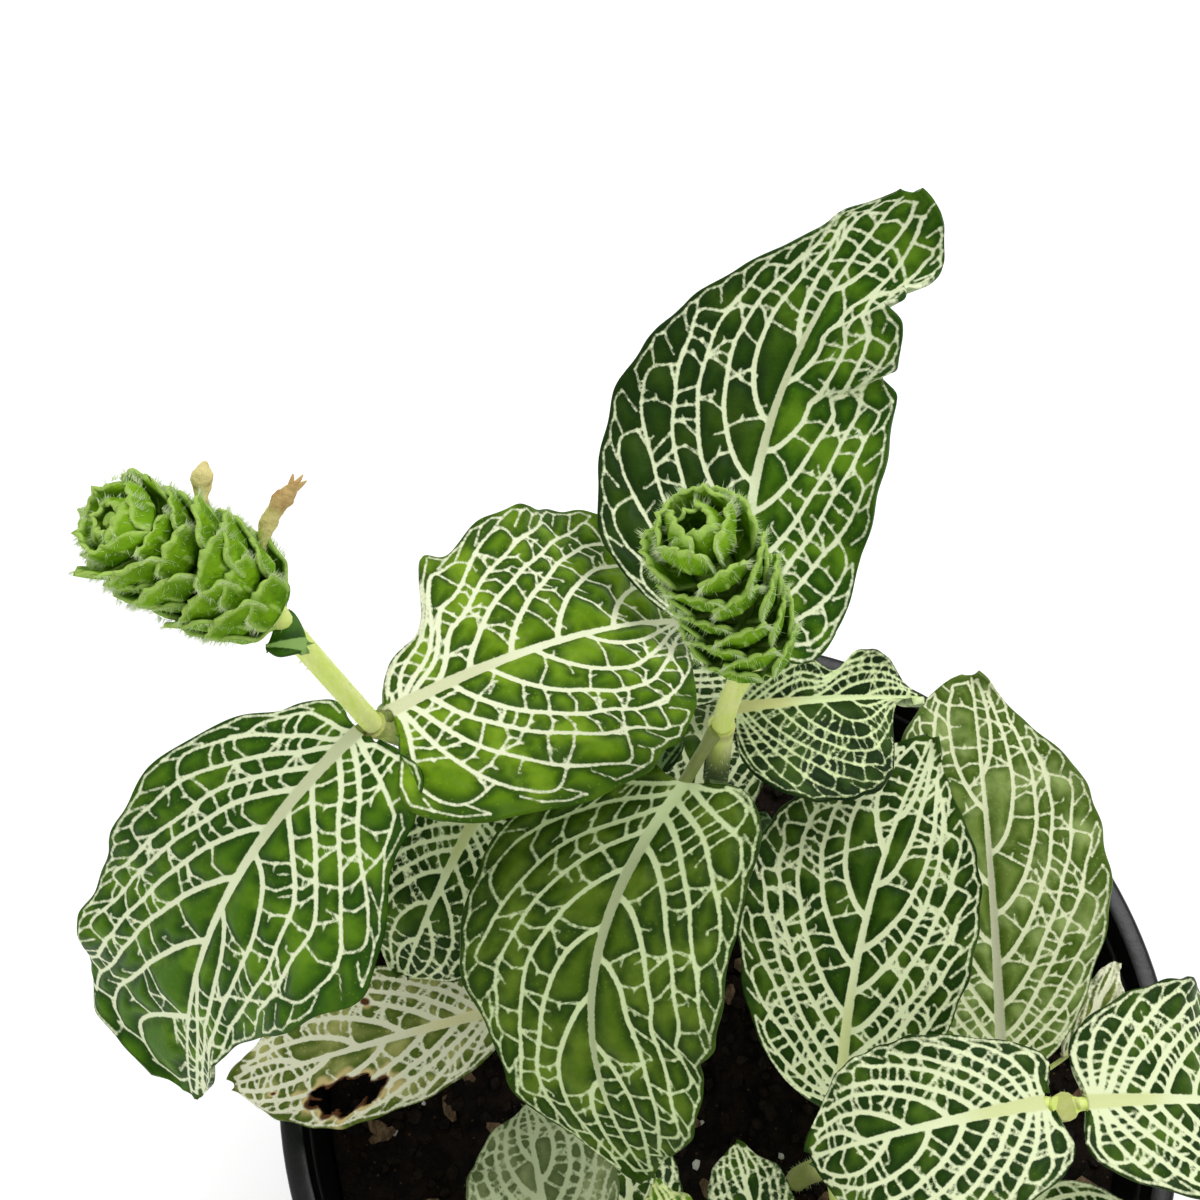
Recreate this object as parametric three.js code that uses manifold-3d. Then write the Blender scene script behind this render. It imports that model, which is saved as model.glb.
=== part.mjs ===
// A potted nerve plant: a thin round nursery pot, its soil, creeping stems that stand up from
// it, ribbed leaves in opposite pairs, and two four-ranked flower spikes with withered flowers.
// Units are millimetres, +Z is up, and the origin is the centre of the pot's underside.

import * as THREE from 'three';
import { mergeVertices } from 'three/addons/utils/BufferGeometryUtils.js';
import Module from 'manifold-3d';

const wasm = await Module();
wasm.setup();

// ---------------------------------------------------------------- driving dimensions

const CLEARANCE = 0.3;

const POT = {
  rimRadius: 55,
  height: 86,
  baseRadius: 39,
  wall: 1.2,
  floor: 1.6,
  bandHeight: 9,
  bandStep: 1.6,
  bandDraft: 0.4,
  bandSlope: 0.6,
  lipRadius: 0.7,
  innerChamfer: 0.3,
  segments: 48,
  drainHoles: 8,
  drainRadius: 3,
  drainSides: 12,
  drainRing: 28,
};

// The soil's swells: each one's height, its length, and the two headings that it runs along.
const SOIL = {
  level: 76,
  rings: 7,
  segments: 32,
  swells: [
    { height: 1.4, length: 31, headings: [0.3, 1.9] },
    { height: 0.6, length: 9, headings: [0.5, 2.4] },
  ],
};

const STEM = { radius: 1.5, sides: 7, stepLength: 5 };
const STALK = { radius: 1.1, sides: 6, stepLength: 6, socketDepth: 2.5 };

const BLADE = {
  thickness: 0.8,
  midribDepth: 0.8,
  midribGroove: 0.35,
  relief: 0.4,
  lobeAt: 0.08,
  lobeSweep: 1.7,
  ribSweep: 0.13,
  firstRow: 0.03,
  endCrowding: 0.35,
  tipHalfWidth: 0.4,
  pointFrom: 0.45,
  wavePower: 3,
  waveFrom: 0.25,
  wavePhase: 2,
  columns: [-1, -0.68, -0.32, 0, 0.32, 0.68, 1],
};

const PETIOLE = {
  halfWidth: 0.85,
  halfHeight: 0.75,
  fullFrom: 3.5,
  clearance: 0.7,
  lastLoop: 0.8,
  flatEdge: 0.26,
};

// Bracts: outline lists shares of the way from root to tip with shares of the half width there.
const BRACT = {
  outline: [[0, 0.5], [0.6, 1], [1, 0.22]],
  halfWidth: 3.5,
  rootRadius: 2,
  reach: 3.6,
  reachPower: 0.8,
  rise: 4.5,
  risePower: 1.3,
  cup: 1.3,
  thickness: 0.8,
  thicknessTilt: [-0.8, 0.6],
  firstTier: 0.6,
  tierStep: 2.05,
  tipShrink: 0.3,
};
const SPIKE_CORE = { radius: 2.5, sides: 6, foot: 0.8, shoulder: 0.75, top: 0.95 };

const WITHERED = { radius: 0.7, sides: 6, stepLength: 2 };

// Stems: the points that each one passes through, from its foot in the soil upwards. Leaves
// grow from the points above the soil.
const STEMS = {
  left: [[-17, 25, 68], [-17.6, 25, 79], [-21, 25, 98], [-25.4, 24.4, 112], [-37.2, 17.6, 143]],
  middle: [[-4, 6, 68], [-4, 7, 79], [-4, 12, 102], [-3.5, 16.5, 120], [-3.6, 19.6, 138]],
  right: [[22, -12, 68], [23, -13, 79], [27, -13, 97], [30.4, -13.5, 120]],
  inner: [[9, -15, 68], [9, -15, 79], [10, -16, 97]],
  front_left: [[-15, -26, 68], [-16, -27, 79], [-18, -33, 97], [-21, -38, 112]],
  front: [[4, -30, 68], [4, -31, 79], [6, -37, 98], [9, -42, 117]],
  back: [[-12, 30, 68], [-12, 31, 79], [-13, 34, 95], [-14, 37, 104]],
};

// Flower spikes: the points of the stalk that carries each one above its stem, the spike's
// tip, its number of bract tiers and its turn about its axis in degrees.
const SPIKES = {
  left: { stalk: [[-42, 18.8, 160], [-43, 19.3, 163]], tip: [-53.8, 20.2, 177.5], tiers: 8, turn: 18 },
  middle: { stalk: [[-3, 19.8, 146], [-1.6, 20, 153]], tip: [-8.4, 20.5, 175], tiers: 9, turn: 35 },
};

// Withered flowers: the spike that each one hangs from and its points, root first.
const WITHERED_FLOWERS = {
  withered_flower_1: {
    spike: 'left', points: [[-47, 22.2, 171.5], [-47, 24.4, 174.2], [-46.4, 25.6, 176]],
  },
  withered_flower_2: {
    spike: 'left', points: [[-44, 21.6, 165.8], [-42.4, 24.2, 169.8], [-39.8, 25.6, 172.8]],
  },
};

// Leaves: the stem and the number of its point that each one grows from, the blade's base and
// tip and its half widths to the left and right of the midrib. Then come its shape values where
// they differ from COMMON_LEAF.
const COMMON_LEAF = {
  roll: 0,
  bow: 2,
  sway: 0,
  fold: 0.05,
  wave: [0.7, 0.7],
  crests: 3,
  lobe: 0.05,
  taper: [0.55, 0.55],
  widest: [0.42, 0.42],
  point: [0.25, 0.25],
  rows: 10,
  material: 'leaf',
};
const LEAVES = [
  { name: 'leaf_left', stem: 'left', at: 4, base: [-39.2, 16, 143.5], tip: [-58.8, -11, 110],
    half: [16.5, 14.5], roll: -4, bow: 5, sway: 3, wave: [0.8, 1], lobe: 0.08,
    taper: [0.45, 0.5], widest: [0.34, 0.52], point: [0.85, -0.3], rows: 12 },
  { name: 'stalk_bract_1', stem: 'left', at: 5, base: [-40.8, 17, 160.6], tip: [-39.4, 14.6, 160.6],
    half: [1.4, 1.4], bow: 0.3, wave: [0, 0], rows: 4, material: 'bract' },
  { name: 'stalk_bract_2', stem: 'left', at: 5, base: [-43.2, 20.8, 160.6], tip: [-44, 23.6, 161],
    half: [1.4, 1.4], bow: 0.3, wave: [0, 0], rows: 4, material: 'bract' },
  { name: 'leaf_centre', stem: 'left', at: 4, base: [-34.6, 19.2, 143.5], tip: [-3.4, 37.4, 126.5],
    half: [15.5, 18], roll: 2, bow: 3.5, sway: -0.5, wave: [1.2, 0.4], taper: [0.9, 0.6],
    widest: [0.5, 0.32], point: [0, 1.1], rows: 12 },
  { name: 'leaf_back', stem: 'middle', at: 4, base: [-0.8, 28.9, 137], tip: [13.9, 63.4, 166],
    half: [16.6, 12.5], bow: -3, sway: -5.5, fold: 0.1, wave: [0.8, 1.6], taper: [0.5, 0.5],
    widest: [0.28, 0.28], point: [0.45, 0], rows: 12 },
  { name: 'leaf_front', stem: 'middle', at: 4, base: [-6.9, 15.6, 133], tip: [-10.5, -19.4, 112],
    half: [12.8, 14], roll: -5, bow: 5.5, sway: 7, wave: [1.2, 0.8], lobe: 0.09,
    taper: [0.45, 0.55], widest: [0.32, 0.42], point: [0.3, 0.4], rows: 12 },
  { name: 'leaf_folded', stem: 'middle', at: 3, base: [-1.2, 28.5, 122], tip: [21.6, 32.5, 116],
    half: [5.5, 12], roll: -10, fold: 0.3, wave: [1, 1], crests: 2, lobe: 0.08,
    widest: [0.4, 0.3] },
  { name: 'leaf_right_inner', stem: 'inner', at: 2, base: [11.5, -10.4, 98], tip: [22.2, 27.4, 117],
    half: [14.2, 12], sway: -2.5, fold: 0.1, lobe: 0.03, widest: [0.42, 0.38],
    point: [0.25, 0.5], rows: 12 },
  { name: 'leaf_right_outer', stem: 'right', at: 2, base: [31.1, -5.9, 95], tip: [28.8, 37.6, 112],
    half: [12.5, 13.5], wave: [0.7, 1], lobe: 0.02, widest: [0.5, 0.42],
    point: [0.25, 0.5], rows: 12 },
  { name: 'leaf_low_inner', stem: 'right', at: 3, base: [28.2, -13.2, 121], tip: [5.7, -17.3, 113],
    half: [10.5, 8.5], bow: 3, lobe: 0.09, point: [0.1, 0.1] },
  { name: 'leaf_low_outer', stem: 'right', at: 3, base: [32.6, -13.2, 121], tip: [53, -12, 108],
    half: [12, 10], bow: 4, lobe: 0.09, point: [0.1, 0.1] },
  { name: 'leaf_shaded', stem: 'left', at: 3, base: [-29.6, 19.8, 112], tip: [-38.4, 4.2, 100],
    half: [9.5, 10], lobe: 0.09, rows: 8 },
  { name: 'leaf_yellowing', stem: 'left', at: 2, base: [-27.5, 1.5, 96], tip: [-59.1, -6.3, 91],
    half: [8.5, 8.5], bow: 1, wave: [1, 1], material: 'fadedLeaf' },
  { name: 'leaf_pale', stem: 'front_left', at: 2, base: [-20, -28.5, 99], tip: [-24.3, -8.7, 93],
    half: [8, 8.5], widest: [0.36, 0.36], rows: 8, material: 'fadedLeaf' },
  { name: 'leaf_under_centre', stem: 'middle', at: 2, base: [-9, 24, 114], tip: [-22.4, 43.9, 108],
    half: [8.5, 8.5], rows: 8 },
  { name: 'leaf_under_front', stem: 'middle', at: 2, base: [0, 15.5, 103], tip: [7, 22, 101],
    half: [4.5, 4.5], rows: 8 },
  { name: 'leaf_withered', stem: 'right', at: 1, base: [40.5, -3, 90], tip: [46.5, 7.5, 94.5],
    half: [2.2, 2.2], fold: 0.6, rows: 8, material: 'fadedLeaf' },
  { name: 'leaf_dark_left', stem: 'front_left', at: 2, base: [-12, -28, 93], tip: [-12.5, -10, 87],
    half: [6, 6], rows: 8 },
  { name: 'leaf_dark_right', stem: 'front', at: 2, base: [3.4, -30, 94], tip: [0, -12.7, 90],
    half: [5, 5], rows: 8 },
  { name: 'leaf_young', stem: 'front', at: 2, base: [-3.5, -32.5, 102.6], tip: [-9.8, -17.8, 97],
    half: [3.5, 3.5], rows: 8 },
  { name: 'leaf_inner_front', stem: 'inner', at: 2, base: [11, -20.5, 96], tip: [21, -42, 90],
    half: [7, 8], rows: 8 },
  { name: 'leaf_left_back', stem: 'left', at: 3, base: [-30, 27.5, 108], tip: [-34, 44, 93],
    half: [8, 8], rows: 8 },
  { name: 'leaf_middle_back', stem: 'middle', at: 1, base: [-5, 18, 102], tip: [-1, 44, 94],
    half: [8, 8], rows: 8 },
  { name: 'leaf_low_back_left', stem: 'back', at: 3, base: [-19, 38.4, 105], tip: [-28, 55, 99],
    half: [8, 8], rows: 8 },
  { name: 'leaf_low_back_right', stem: 'back', at: 3, base: [-9.5, 39, 105], tip: [5, 51, 99],
    half: [8, 8], rows: 8 },
  { name: 'leaf_fore_left', stem: 'front_left', at: 3, base: [-27, -40, 112], tip: [-56, -48, 99],
    half: [12, 12], bow: 4 },
  { name: 'leaf_fore_middle', stem: 'front_left', at: 3, base: [-16, -42, 112], tip: [-2, -70, 103],
    half: [11, 11], bow: 4 },
  { name: 'leaf_fore_right', stem: 'front', at: 3, base: [14.5, -44, 117], tip: [42, -54, 105],
    half: [12, 12], bow: 4 },
  { name: 'leaf_fore_top', stem: 'front', at: 3, base: [3.5, -40, 118], tip: [-23, -31, 124],
    half: [11, 11], bow: 3 },
  { name: 'leaf_fore_low', stem: 'front', at: 2, base: [9, -43, 97], tip: [24, -68, 91],
    half: [9, 9], rows: 8 },
  { name: 'leaf_fore_low_left', stem: 'front_left', at: 2, base: [-22, -39, 97], tip: [-37, -62, 91],
    half: [9, 9], rows: 8 },
  { name: 'leaf_right_low', stem: 'right', at: 2, base: [32, -20, 97], tip: [52, -40, 91],
    half: [9, 9], rows: 8 },
];

// ---------------------------------------------------------------- materials

const MATERIALS = {
  pot: new THREE.MeshStandardMaterial({ color: 0x15161a, roughness: 0.35, metalness: 0 }),
  soil: new THREE.MeshStandardMaterial({ color: 0x2a1d15, roughness: 0.95, metalness: 0 }),
  stem: new THREE.MeshStandardMaterial({ color: 0xa9b97a, roughness: 0.7, metalness: 0 }),
  leaf: new THREE.MeshStandardMaterial({ color: 0x4d7a2c, roughness: 0.45, metalness: 0 }),
  fadedLeaf: new THREE.MeshStandardMaterial({ color: 0x9aa476, roughness: 0.5, metalness: 0 }),
  bract: new THREE.MeshStandardMaterial({ color: 0x5f9a2e, roughness: 0.6, metalness: 0 }),
  withered: new THREE.MeshStandardMaterial({ color: 0xb08a55, roughness: 0.8, metalness: 0 }),
};

// ---------------------------------------------------------------- closed meshes and solids

const UP = new THREE.Vector3(0, 0, 1);

function toVectors(points) {
  return points.map((point) => new THREE.Vector3(...point));
}

function closedGeometry(points, triangles) {
  const geometry = new THREE.BufferGeometry();
  const coordinates = points.flatMap((point) => point.toArray());
  geometry.setAttribute('position', new THREE.Float32BufferAttribute(coordinates, 3));
  geometry.setIndex(triangles);
  return geometry;
}

function toSolid(geometry) {
  const bare = geometry.clone();
  bare.deleteAttribute('normal');
  bare.deleteAttribute('uv');
  const merged = mergeVertices(bare, 1e-4);
  const vertProperties = new Float32Array(merged.attributes.position.array);
  const triVerts = new Uint32Array(merged.index.array);
  return new wasm.Manifold(new wasm.Mesh({ numProp: 3, vertProperties, triVerts }));
}

function toGeometry(solid) {
  const mesh = solid.getMesh();
  const geometry = new THREE.BufferGeometry();
  geometry.setAttribute('position', new THREE.BufferAttribute(mesh.vertProperties, 3));
  geometry.setIndex(new THREE.BufferAttribute(mesh.triVerts, 1));
  return geometry;
}

function joined(geometries) {
  return toGeometry(geometries.map(toSolid).reduce((whole, solid) => whole.add(solid)));
}

// Cuts the tools out of a body and drops any loose scrap that they leave.
function cut(geometry, tools) {
  const rest = tools.map(toSolid).reduce((left, tool) => left.subtract(tool), toSolid(geometry));
  const pieces = rest.decompose().sort((a, b) => b.volume() - a.volume());
  return toGeometry(pieces[0]);
}

function lathe(profile, segments) {
  const geometry = new THREE.LatheGeometry(profile.map(([r, z]) => new THREE.Vector2(r, z)), segments);
  geometry.rotateX(Math.PI / 2);
  return geometry;
}

// A tube of even radius through a list of points.
function tube(points, { radius, sides, stepLength }) {
  const path = new THREE.CatmullRomCurve3(toVectors(points), false, 'centripetal');
  const section = new THREE.Shape();
  for (let i = 0; i < sides; i += 1) {
    const angle = (2 * Math.PI * i) / sides;
    const [x, y] = [radius * Math.cos(angle), radius * Math.sin(angle)];
    if (i === 0) section.moveTo(x, y);
    else section.lineTo(x, y);
  }
  section.closePath();
  const steps = Math.max(2, Math.round(path.getLength() / stepLength));
  return new THREE.ExtrudeGeometry(section, { steps, bevelEnabled: false, extrudePath: path });
}

// ---------------------------------------------------------------- a thin sheet as one closed body

// Two grids of points, the upper and the lower face of a sheet, are joined round their edges.
// Both faces split their cells along the same diagonals, so that a waved sheet never crosses
// itself.
function sheet(upper, lower) {
  const rows = upper.length;
  const columns = upper[0].length;
  const points = [...upper.flat(), ...lower.flat()];
  const top = (i, j) => i * columns + j;
  const under = (i, j) => rows * columns + top(i, j);
  const triangles = [];
  for (let i = 0; i + 1 < rows; i += 1) {
    for (let j = 0; j + 1 < columns; j += 1) {
      triangles.push(top(i, j), top(i, j + 1), top(i + 1, j + 1));
      triangles.push(top(i, j), top(i + 1, j + 1), top(i + 1, j));
      triangles.push(under(i, j), under(i + 1, j + 1), under(i, j + 1));
      triangles.push(under(i, j), under(i + 1, j), under(i + 1, j + 1));
    }
  }
  const rim = [];
  for (let j = 0; j < columns; j += 1) rim.push([0, j]);
  for (let i = 1; i < rows; i += 1) rim.push([i, columns - 1]);
  for (let j = columns - 2; j >= 0; j -= 1) rim.push([rows - 1, j]);
  for (let i = rows - 2; i > 0; i -= 1) rim.push([i, 0]);
  rim.forEach(([i, j], k) => {
    const [m, n] = rim[(k + 1) % rim.length];
    triangles.push(top(i, j), under(i, j), under(m, n));
    triangles.push(top(i, j), under(m, n), top(m, n));
  });
  return closedGeometry(points, triangles);
}

// ---------------------------------------------------------------- leaves

function leafFrame(leaf) {
  const base = new THREE.Vector3(...leaf.base);
  const along = new THREE.Vector3(...leaf.tip).sub(base);
  const length = along.length();
  along.normalize();
  const side = along.clone().cross(UP).normalize();
  return { base, along, side, normal: side.clone().cross(along), length };
}

function halfWidthAt(leaf, side, r) {
  const widest = leaf.widest[side];
  const taper = leaf.taper[side];
  const shape = (r / widest) ** taper * ((1 - r) / (1 - widest)) ** ((taper * (1 - widest)) / widest);
  const pointing = 1 - leaf.point[side] * THREE.MathUtils.smoothstep(r, BLADE.pointFrom, 1);
  return Math.max(leaf.half[side] * shape * pointing, BLADE.tipHalfWidth);
}

// A point of the blade's upper face: r runs along the midrib and v from the left edge, -1, to
// the right edge, 1. Lines of equal r are swept forward like the side ribs, and back at the
// base to make its lobes.
function bladePoint(leaf, frame, r, v) {
  const across = Math.abs(v);
  const lobe = -leaf.lobe * (r / BLADE.lobeAt) * Math.exp(1 - r / BLADE.lobeAt);
  const sweep = BLADE.ribSweep * Math.sin(Math.PI * r) + lobe;
  const x = r + sweep * across ** BLADE.lobeSweep;
  const arch = 4 * x * (1 - x);
  const edge = v < 0 ? 0 : 1;
  const y = v * halfWidthAt(leaf, edge, r);
  const waving = leaf.wave[edge] * across ** BLADE.wavePower * Math.min(1, r / BLADE.waveFrom);
  const wave = waving * Math.sin(2 * Math.PI * leaf.crests * r + BLADE.wavePhase * edge);
  const ribs = BLADE.relief * Math.cos(Math.PI * leaf.rows * r) * 4 * across * (1 - across);
  const groove = v === 0 ? -BLADE.midribGroove : 0;
  const rise = leaf.bow * arch + leaf.fold * Math.abs(y) + wave + ribs + groove;
  const angle = THREE.MathUtils.degToRad(leaf.roll);
  return frame.base.clone()
    .addScaledVector(frame.along, x * frame.length)
    .addScaledVector(frame.side, leaf.sway * arch + y * Math.cos(angle) - rise * Math.sin(angle))
    .addScaledVector(frame.normal, y * Math.sin(angle) + rise * Math.cos(angle));
}

// Where the petiole starts: on the side of the stem that faces the blade.
function stemSurface(leaf, blade) {
  const stem = STEMS[leaf.stem];
  const points = toVectors([...stem, ...(SPIKES[leaf.stem]?.stalk ?? [])]);
  const radius = leaf.at < stem.length ? STEM.radius : STALK.radius;
  const node = points[leaf.at];
  const upward = (points[leaf.at + 1] ?? node).clone().sub(points[leaf.at - 1]).normalize();
  const outward = blade.clone().sub(node);
  outward.addScaledVector(upward, -outward.dot(upward)).normalize();
  return node.clone().addScaledVector(outward, radius + PETIOLE.clearance);
}

// One leaf: its petiole, from the stem to the blade, and the blade, with the midrib as a ridge
// below it.
function leafGeometry(leaf) {
  const frame = leafFrame(leaf);
  const root = stemSurface(leaf, frame.base);
  const toBlade = frame.base.clone().sub(root).normalize();
  const petioleSide = frame.side.clone().addScaledVector(toBlade, -frame.side.dot(toBlade)).normalize();
  const petioleUp = petioleSide.clone().cross(toBlade);
  const slim = Math.min(1, leaf.half[0] / PETIOLE.fullFrom);
  const upper = [];
  const lower = [];
  [0, PETIOLE.lastLoop].forEach((t) => {
    const centre = root.clone().lerp(frame.base, t);
    const loop = (sign) => BLADE.columns.map((v) => {
      const height = PETIOLE.halfHeight * Math.max(Math.sqrt(1 - v * v), PETIOLE.flatEdge);
      return centre.clone()
        .addScaledVector(petioleSide, v * slim * PETIOLE.halfWidth)
        .addScaledVector(petioleUp, sign * slim * height);
    });
    upper.push(loop(1));
    lower.push(loop(-1));
  });
  for (let i = 0; i <= leaf.rows; i += 1) {
    const s = i / leaf.rows;
    const crowded = s - (BLADE.endCrowding * Math.sin(2 * Math.PI * s)) / (2 * Math.PI);
    const r = BLADE.firstRow + (1 - BLADE.firstRow) * crowded;
    const row = BLADE.columns.map((v) => bladePoint(leaf, frame, r, v));
    upper.push(row);
    lower.push(row.map((point, j) => {
      const ridge = BLADE.columns[j] === 0 ? BLADE.midribDepth * (1 - r) : 0;
      return point.clone().addScaledVector(frame.normal, -BLADE.thickness - ridge);
    }));
  }
  return sheet(upper, lower);
}

// ---------------------------------------------------------------- pot and soil

function wallRadius(z) {
  const top = POT.rimRadius - POT.bandStep;
  return POT.baseRadius + ((top - POT.baseRadius) * z) / POT.height;
}

function potGeometry() {
  const bandFoot = POT.height - POT.bandHeight;
  const shell = lathe([
    [0, 0],
    [POT.baseRadius, 0],
    [wallRadius(bandFoot), bandFoot],
    [POT.rimRadius - POT.bandDraft, bandFoot + POT.bandSlope],
    [POT.rimRadius, POT.height - POT.lipRadius],
    [POT.rimRadius - POT.lipRadius, POT.height],
    [wallRadius(POT.height) - POT.wall + POT.innerChamfer, POT.height],
    [wallRadius(POT.height) - POT.wall, POT.height - POT.lipRadius],
    [wallRadius(POT.floor) - POT.wall, POT.floor],
    [0, POT.floor],
  ], POT.segments);
  const holes = Array.from({ length: POT.drainHoles }, (_, i) => {
    const angle = (2 * Math.PI * i) / POT.drainHoles;
    const depth = 4 * POT.floor;
    const hole = new THREE.CylinderGeometry(POT.drainRadius, POT.drainRadius, depth, POT.drainSides);
    hole.rotateX(Math.PI / 2);
    hole.translate(POT.drainRing * Math.cos(angle), POT.drainRing * Math.sin(angle), 0);
    return hole;
  });
  return cut(shell, holes);
}

function soilHeight(x, y) {
  return SOIL.swells.reduce((z, { height, length, headings }) => {
    const waves = headings.map((heading) => {
      const distance = x * Math.cos(heading) + y * Math.sin(heading);
      return Math.sin((2 * Math.PI * distance) / length + heading);
    });
    return z + height * waves[0] * waves[1];
  }, SOIL.level);
}

function soilGeometry() {
  const outer = wallRadius(SOIL.level) - POT.wall - CLEARANCE;
  const bottom = POT.floor + CLEARANCE;
  const points = [new THREE.Vector3(0, 0, soilHeight(0, 0))];
  const triangles = [];
  const ring = (k, i) => 1 + k * SOIL.segments + (i % SOIL.segments);
  for (let k = 1; k <= SOIL.rings + 1; k += 1) {
    for (let i = 0; i < SOIL.segments; i += 1) {
      const angle = (2 * Math.PI * i) / SOIL.segments;
      const below = k > SOIL.rings;
      const radius = below ? wallRadius(bottom) - POT.wall - CLEARANCE : (outer * k) / SOIL.rings;
      const [x, y] = [radius * Math.cos(angle), radius * Math.sin(angle)];
      const edge = k === SOIL.rings ? SOIL.level : soilHeight(x, y);
      points.push(new THREE.Vector3(x, y, below ? bottom : edge));
    }
  }
  for (let i = 0; i < SOIL.segments; i += 1) {
    triangles.push(0, ring(0, i), ring(0, i + 1));
    for (let k = 0; k < SOIL.rings; k += 1) {
      triangles.push(ring(k, i), ring(k + 1, i), ring(k + 1, i + 1));
      triangles.push(ring(k, i), ring(k + 1, i + 1), ring(k, i + 1));
    }
  }
  points.push(new THREE.Vector3(0, 0, bottom));
  const centre = points.length - 1;
  for (let i = 0; i < SOIL.segments; i += 1) {
    triangles.push(centre, ring(SOIL.rings, i + 1), ring(SOIL.rings, i));
  }
  const sockets = Object.values(STEMS).map(([foot, ...rest]) => tube(
    [[foot[0], foot[1], foot[2] - CLEARANCE], ...rest],
    { ...STEM, radius: STEM.radius + CLEARANCE },
  ));
  return cut(closedGeometry(points, triangles), sockets);
}

// ---------------------------------------------------------------- flower spikes

function bractGeometry(root, axis, outward, scale) {
  const sideways = axis.clone().cross(outward);
  const [tiltOut, tiltUp] = BRACT.thicknessTilt;
  const face = (depth) => BRACT.outline.map(([u, width]) => [-1, 0, 1].map((v) => {
    const reach = scale * (BRACT.reach * u ** BRACT.reachPower - BRACT.cup * v * v * u);
    const rise = scale * BRACT.rise * u ** BRACT.risePower;
    return root.clone()
      .addScaledVector(outward, BRACT.rootRadius + reach + depth * tiltOut)
      .addScaledVector(axis, rise + depth * tiltUp)
      .addScaledVector(sideways, -v * scale * BRACT.halfWidth * width);
  }));
  return sheet(face(BRACT.thickness), face(0));
}

function spikeFrame(spike) {
  const base = new THREE.Vector3(...spike.stalk[1]);
  const axis = new THREE.Vector3(...spike.tip).sub(base);
  const length = axis.length();
  axis.normalize();
  const outward = new THREE.Vector3(0, 1, 0).addScaledVector(axis, -axis.y).normalize();
  return { base, axis, length, outward };
}

// The stalk of a spike, from the top of its stem to the given depth inside the spike.
function stalkGeometry(name, depth, radius) {
  const { base, axis } = spikeFrame(SPIKES[name]);
  const end = base.clone().addScaledVector(axis, depth).toArray();
  return tube([STEMS[name].at(-1), ...SPIKES[name].stalk, end], { ...STALK, radius });
}

function spikeGeometry(name) {
  const spike = SPIKES[name];
  const { base, axis, length, outward } = spikeFrame(spike);
  const core = lathe([
    [0, 0],
    [SPIKE_CORE.radius, SPIKE_CORE.foot],
    [SPIKE_CORE.radius, length * SPIKE_CORE.shoulder],
    [0, length * SPIKE_CORE.top],
  ], SPIKE_CORE.sides);
  core.applyQuaternion(new THREE.Quaternion().setFromUnitVectors(UP, axis));
  core.translate(base.x, base.y, base.z);
  const parts = [core];
  for (let tier = 0; tier < spike.tiers; tier += 1) {
    const root = base.clone().addScaledVector(axis, BRACT.firstTier + tier * BRACT.tierStep);
    const scale = 1 - BRACT.tipShrink * (tier / spike.tiers) ** 3;
    for (const opposite of [0, 180]) {
      const angle = THREE.MathUtils.degToRad(spike.turn + 90 * tier + opposite);
      parts.push(bractGeometry(root, axis, outward.clone().applyAxisAngle(axis, angle), scale));
    }
  }
  const socket = stalkGeometry(name, STALK.socketDepth + CLEARANCE, STALK.radius + CLEARANCE);
  const flowerRoots = Object.values(WITHERED_FLOWERS)
    .filter((flower) => flower.spike === name)
    .map((flower) => tube(flower.points, { ...WITHERED, radius: WITHERED.radius + CLEARANCE }));
  return cut(joined(parts), [socket, ...flowerRoots]);
}

// ---------------------------------------------------------------- the plant in its pot

function stemGeometry(name) {
  const stem = tube(STEMS[name], STEM);
  if (!SPIKES[name]) return stem;
  return joined([stem, stalkGeometry(name, STALK.socketDepth, STALK.radius)]);
}

const plant = new THREE.Group();

function place(name, geometry, material) {
  geometry.computeVertexNormals();
  const mesh = new THREE.Mesh(geometry, material);
  mesh.name = name;
  plant.add(mesh);
}

place('pot', potGeometry(), MATERIALS.pot);
place('soil', soilGeometry(), MATERIALS.soil);
Object.keys(STEMS).forEach((name) => place(`stem_${name}`, stemGeometry(name), MATERIALS.stem));
Object.keys(SPIKES).forEach((name) => place(`spike_${name}`, spikeGeometry(name), MATERIALS.bract));
Object.entries(WITHERED_FLOWERS).forEach(([name, flower]) => {
  place(name, tube(flower.points, WITHERED), MATERIALS.withered);
});
LEAVES.forEach((values) => {
  const leaf = { ...COMMON_LEAF, ...values };
  place(leaf.name, leafGeometry(leaf), MATERIALS[leaf.material]);
});

export default plant;
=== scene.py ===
"""The looks of a potted nerve plant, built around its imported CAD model.

Lengths are millimetres in the plant's own frame, and MM turns them into Blender's metres. Each
leaf repeats the blade that the CAD model has, with a much finer mesh. A net of veins is grown
on it as curves, and the distance to the nearest vein shapes the blade and colours it.
"""

import math
import random

import bmesh
import bpy
import numpy as np
from mathutils import Matrix, Vector, noise


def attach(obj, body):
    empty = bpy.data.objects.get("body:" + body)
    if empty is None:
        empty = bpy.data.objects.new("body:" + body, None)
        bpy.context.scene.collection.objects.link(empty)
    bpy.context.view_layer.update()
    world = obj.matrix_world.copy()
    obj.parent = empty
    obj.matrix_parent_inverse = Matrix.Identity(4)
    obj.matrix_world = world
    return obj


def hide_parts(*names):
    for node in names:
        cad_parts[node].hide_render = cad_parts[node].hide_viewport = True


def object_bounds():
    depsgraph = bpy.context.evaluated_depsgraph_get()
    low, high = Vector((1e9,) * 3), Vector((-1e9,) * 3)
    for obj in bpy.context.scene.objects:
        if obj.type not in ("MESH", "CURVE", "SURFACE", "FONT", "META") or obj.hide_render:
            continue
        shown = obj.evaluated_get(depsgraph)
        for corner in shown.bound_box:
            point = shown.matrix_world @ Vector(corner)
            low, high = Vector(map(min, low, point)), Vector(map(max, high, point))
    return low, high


MM = 0.001
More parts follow.
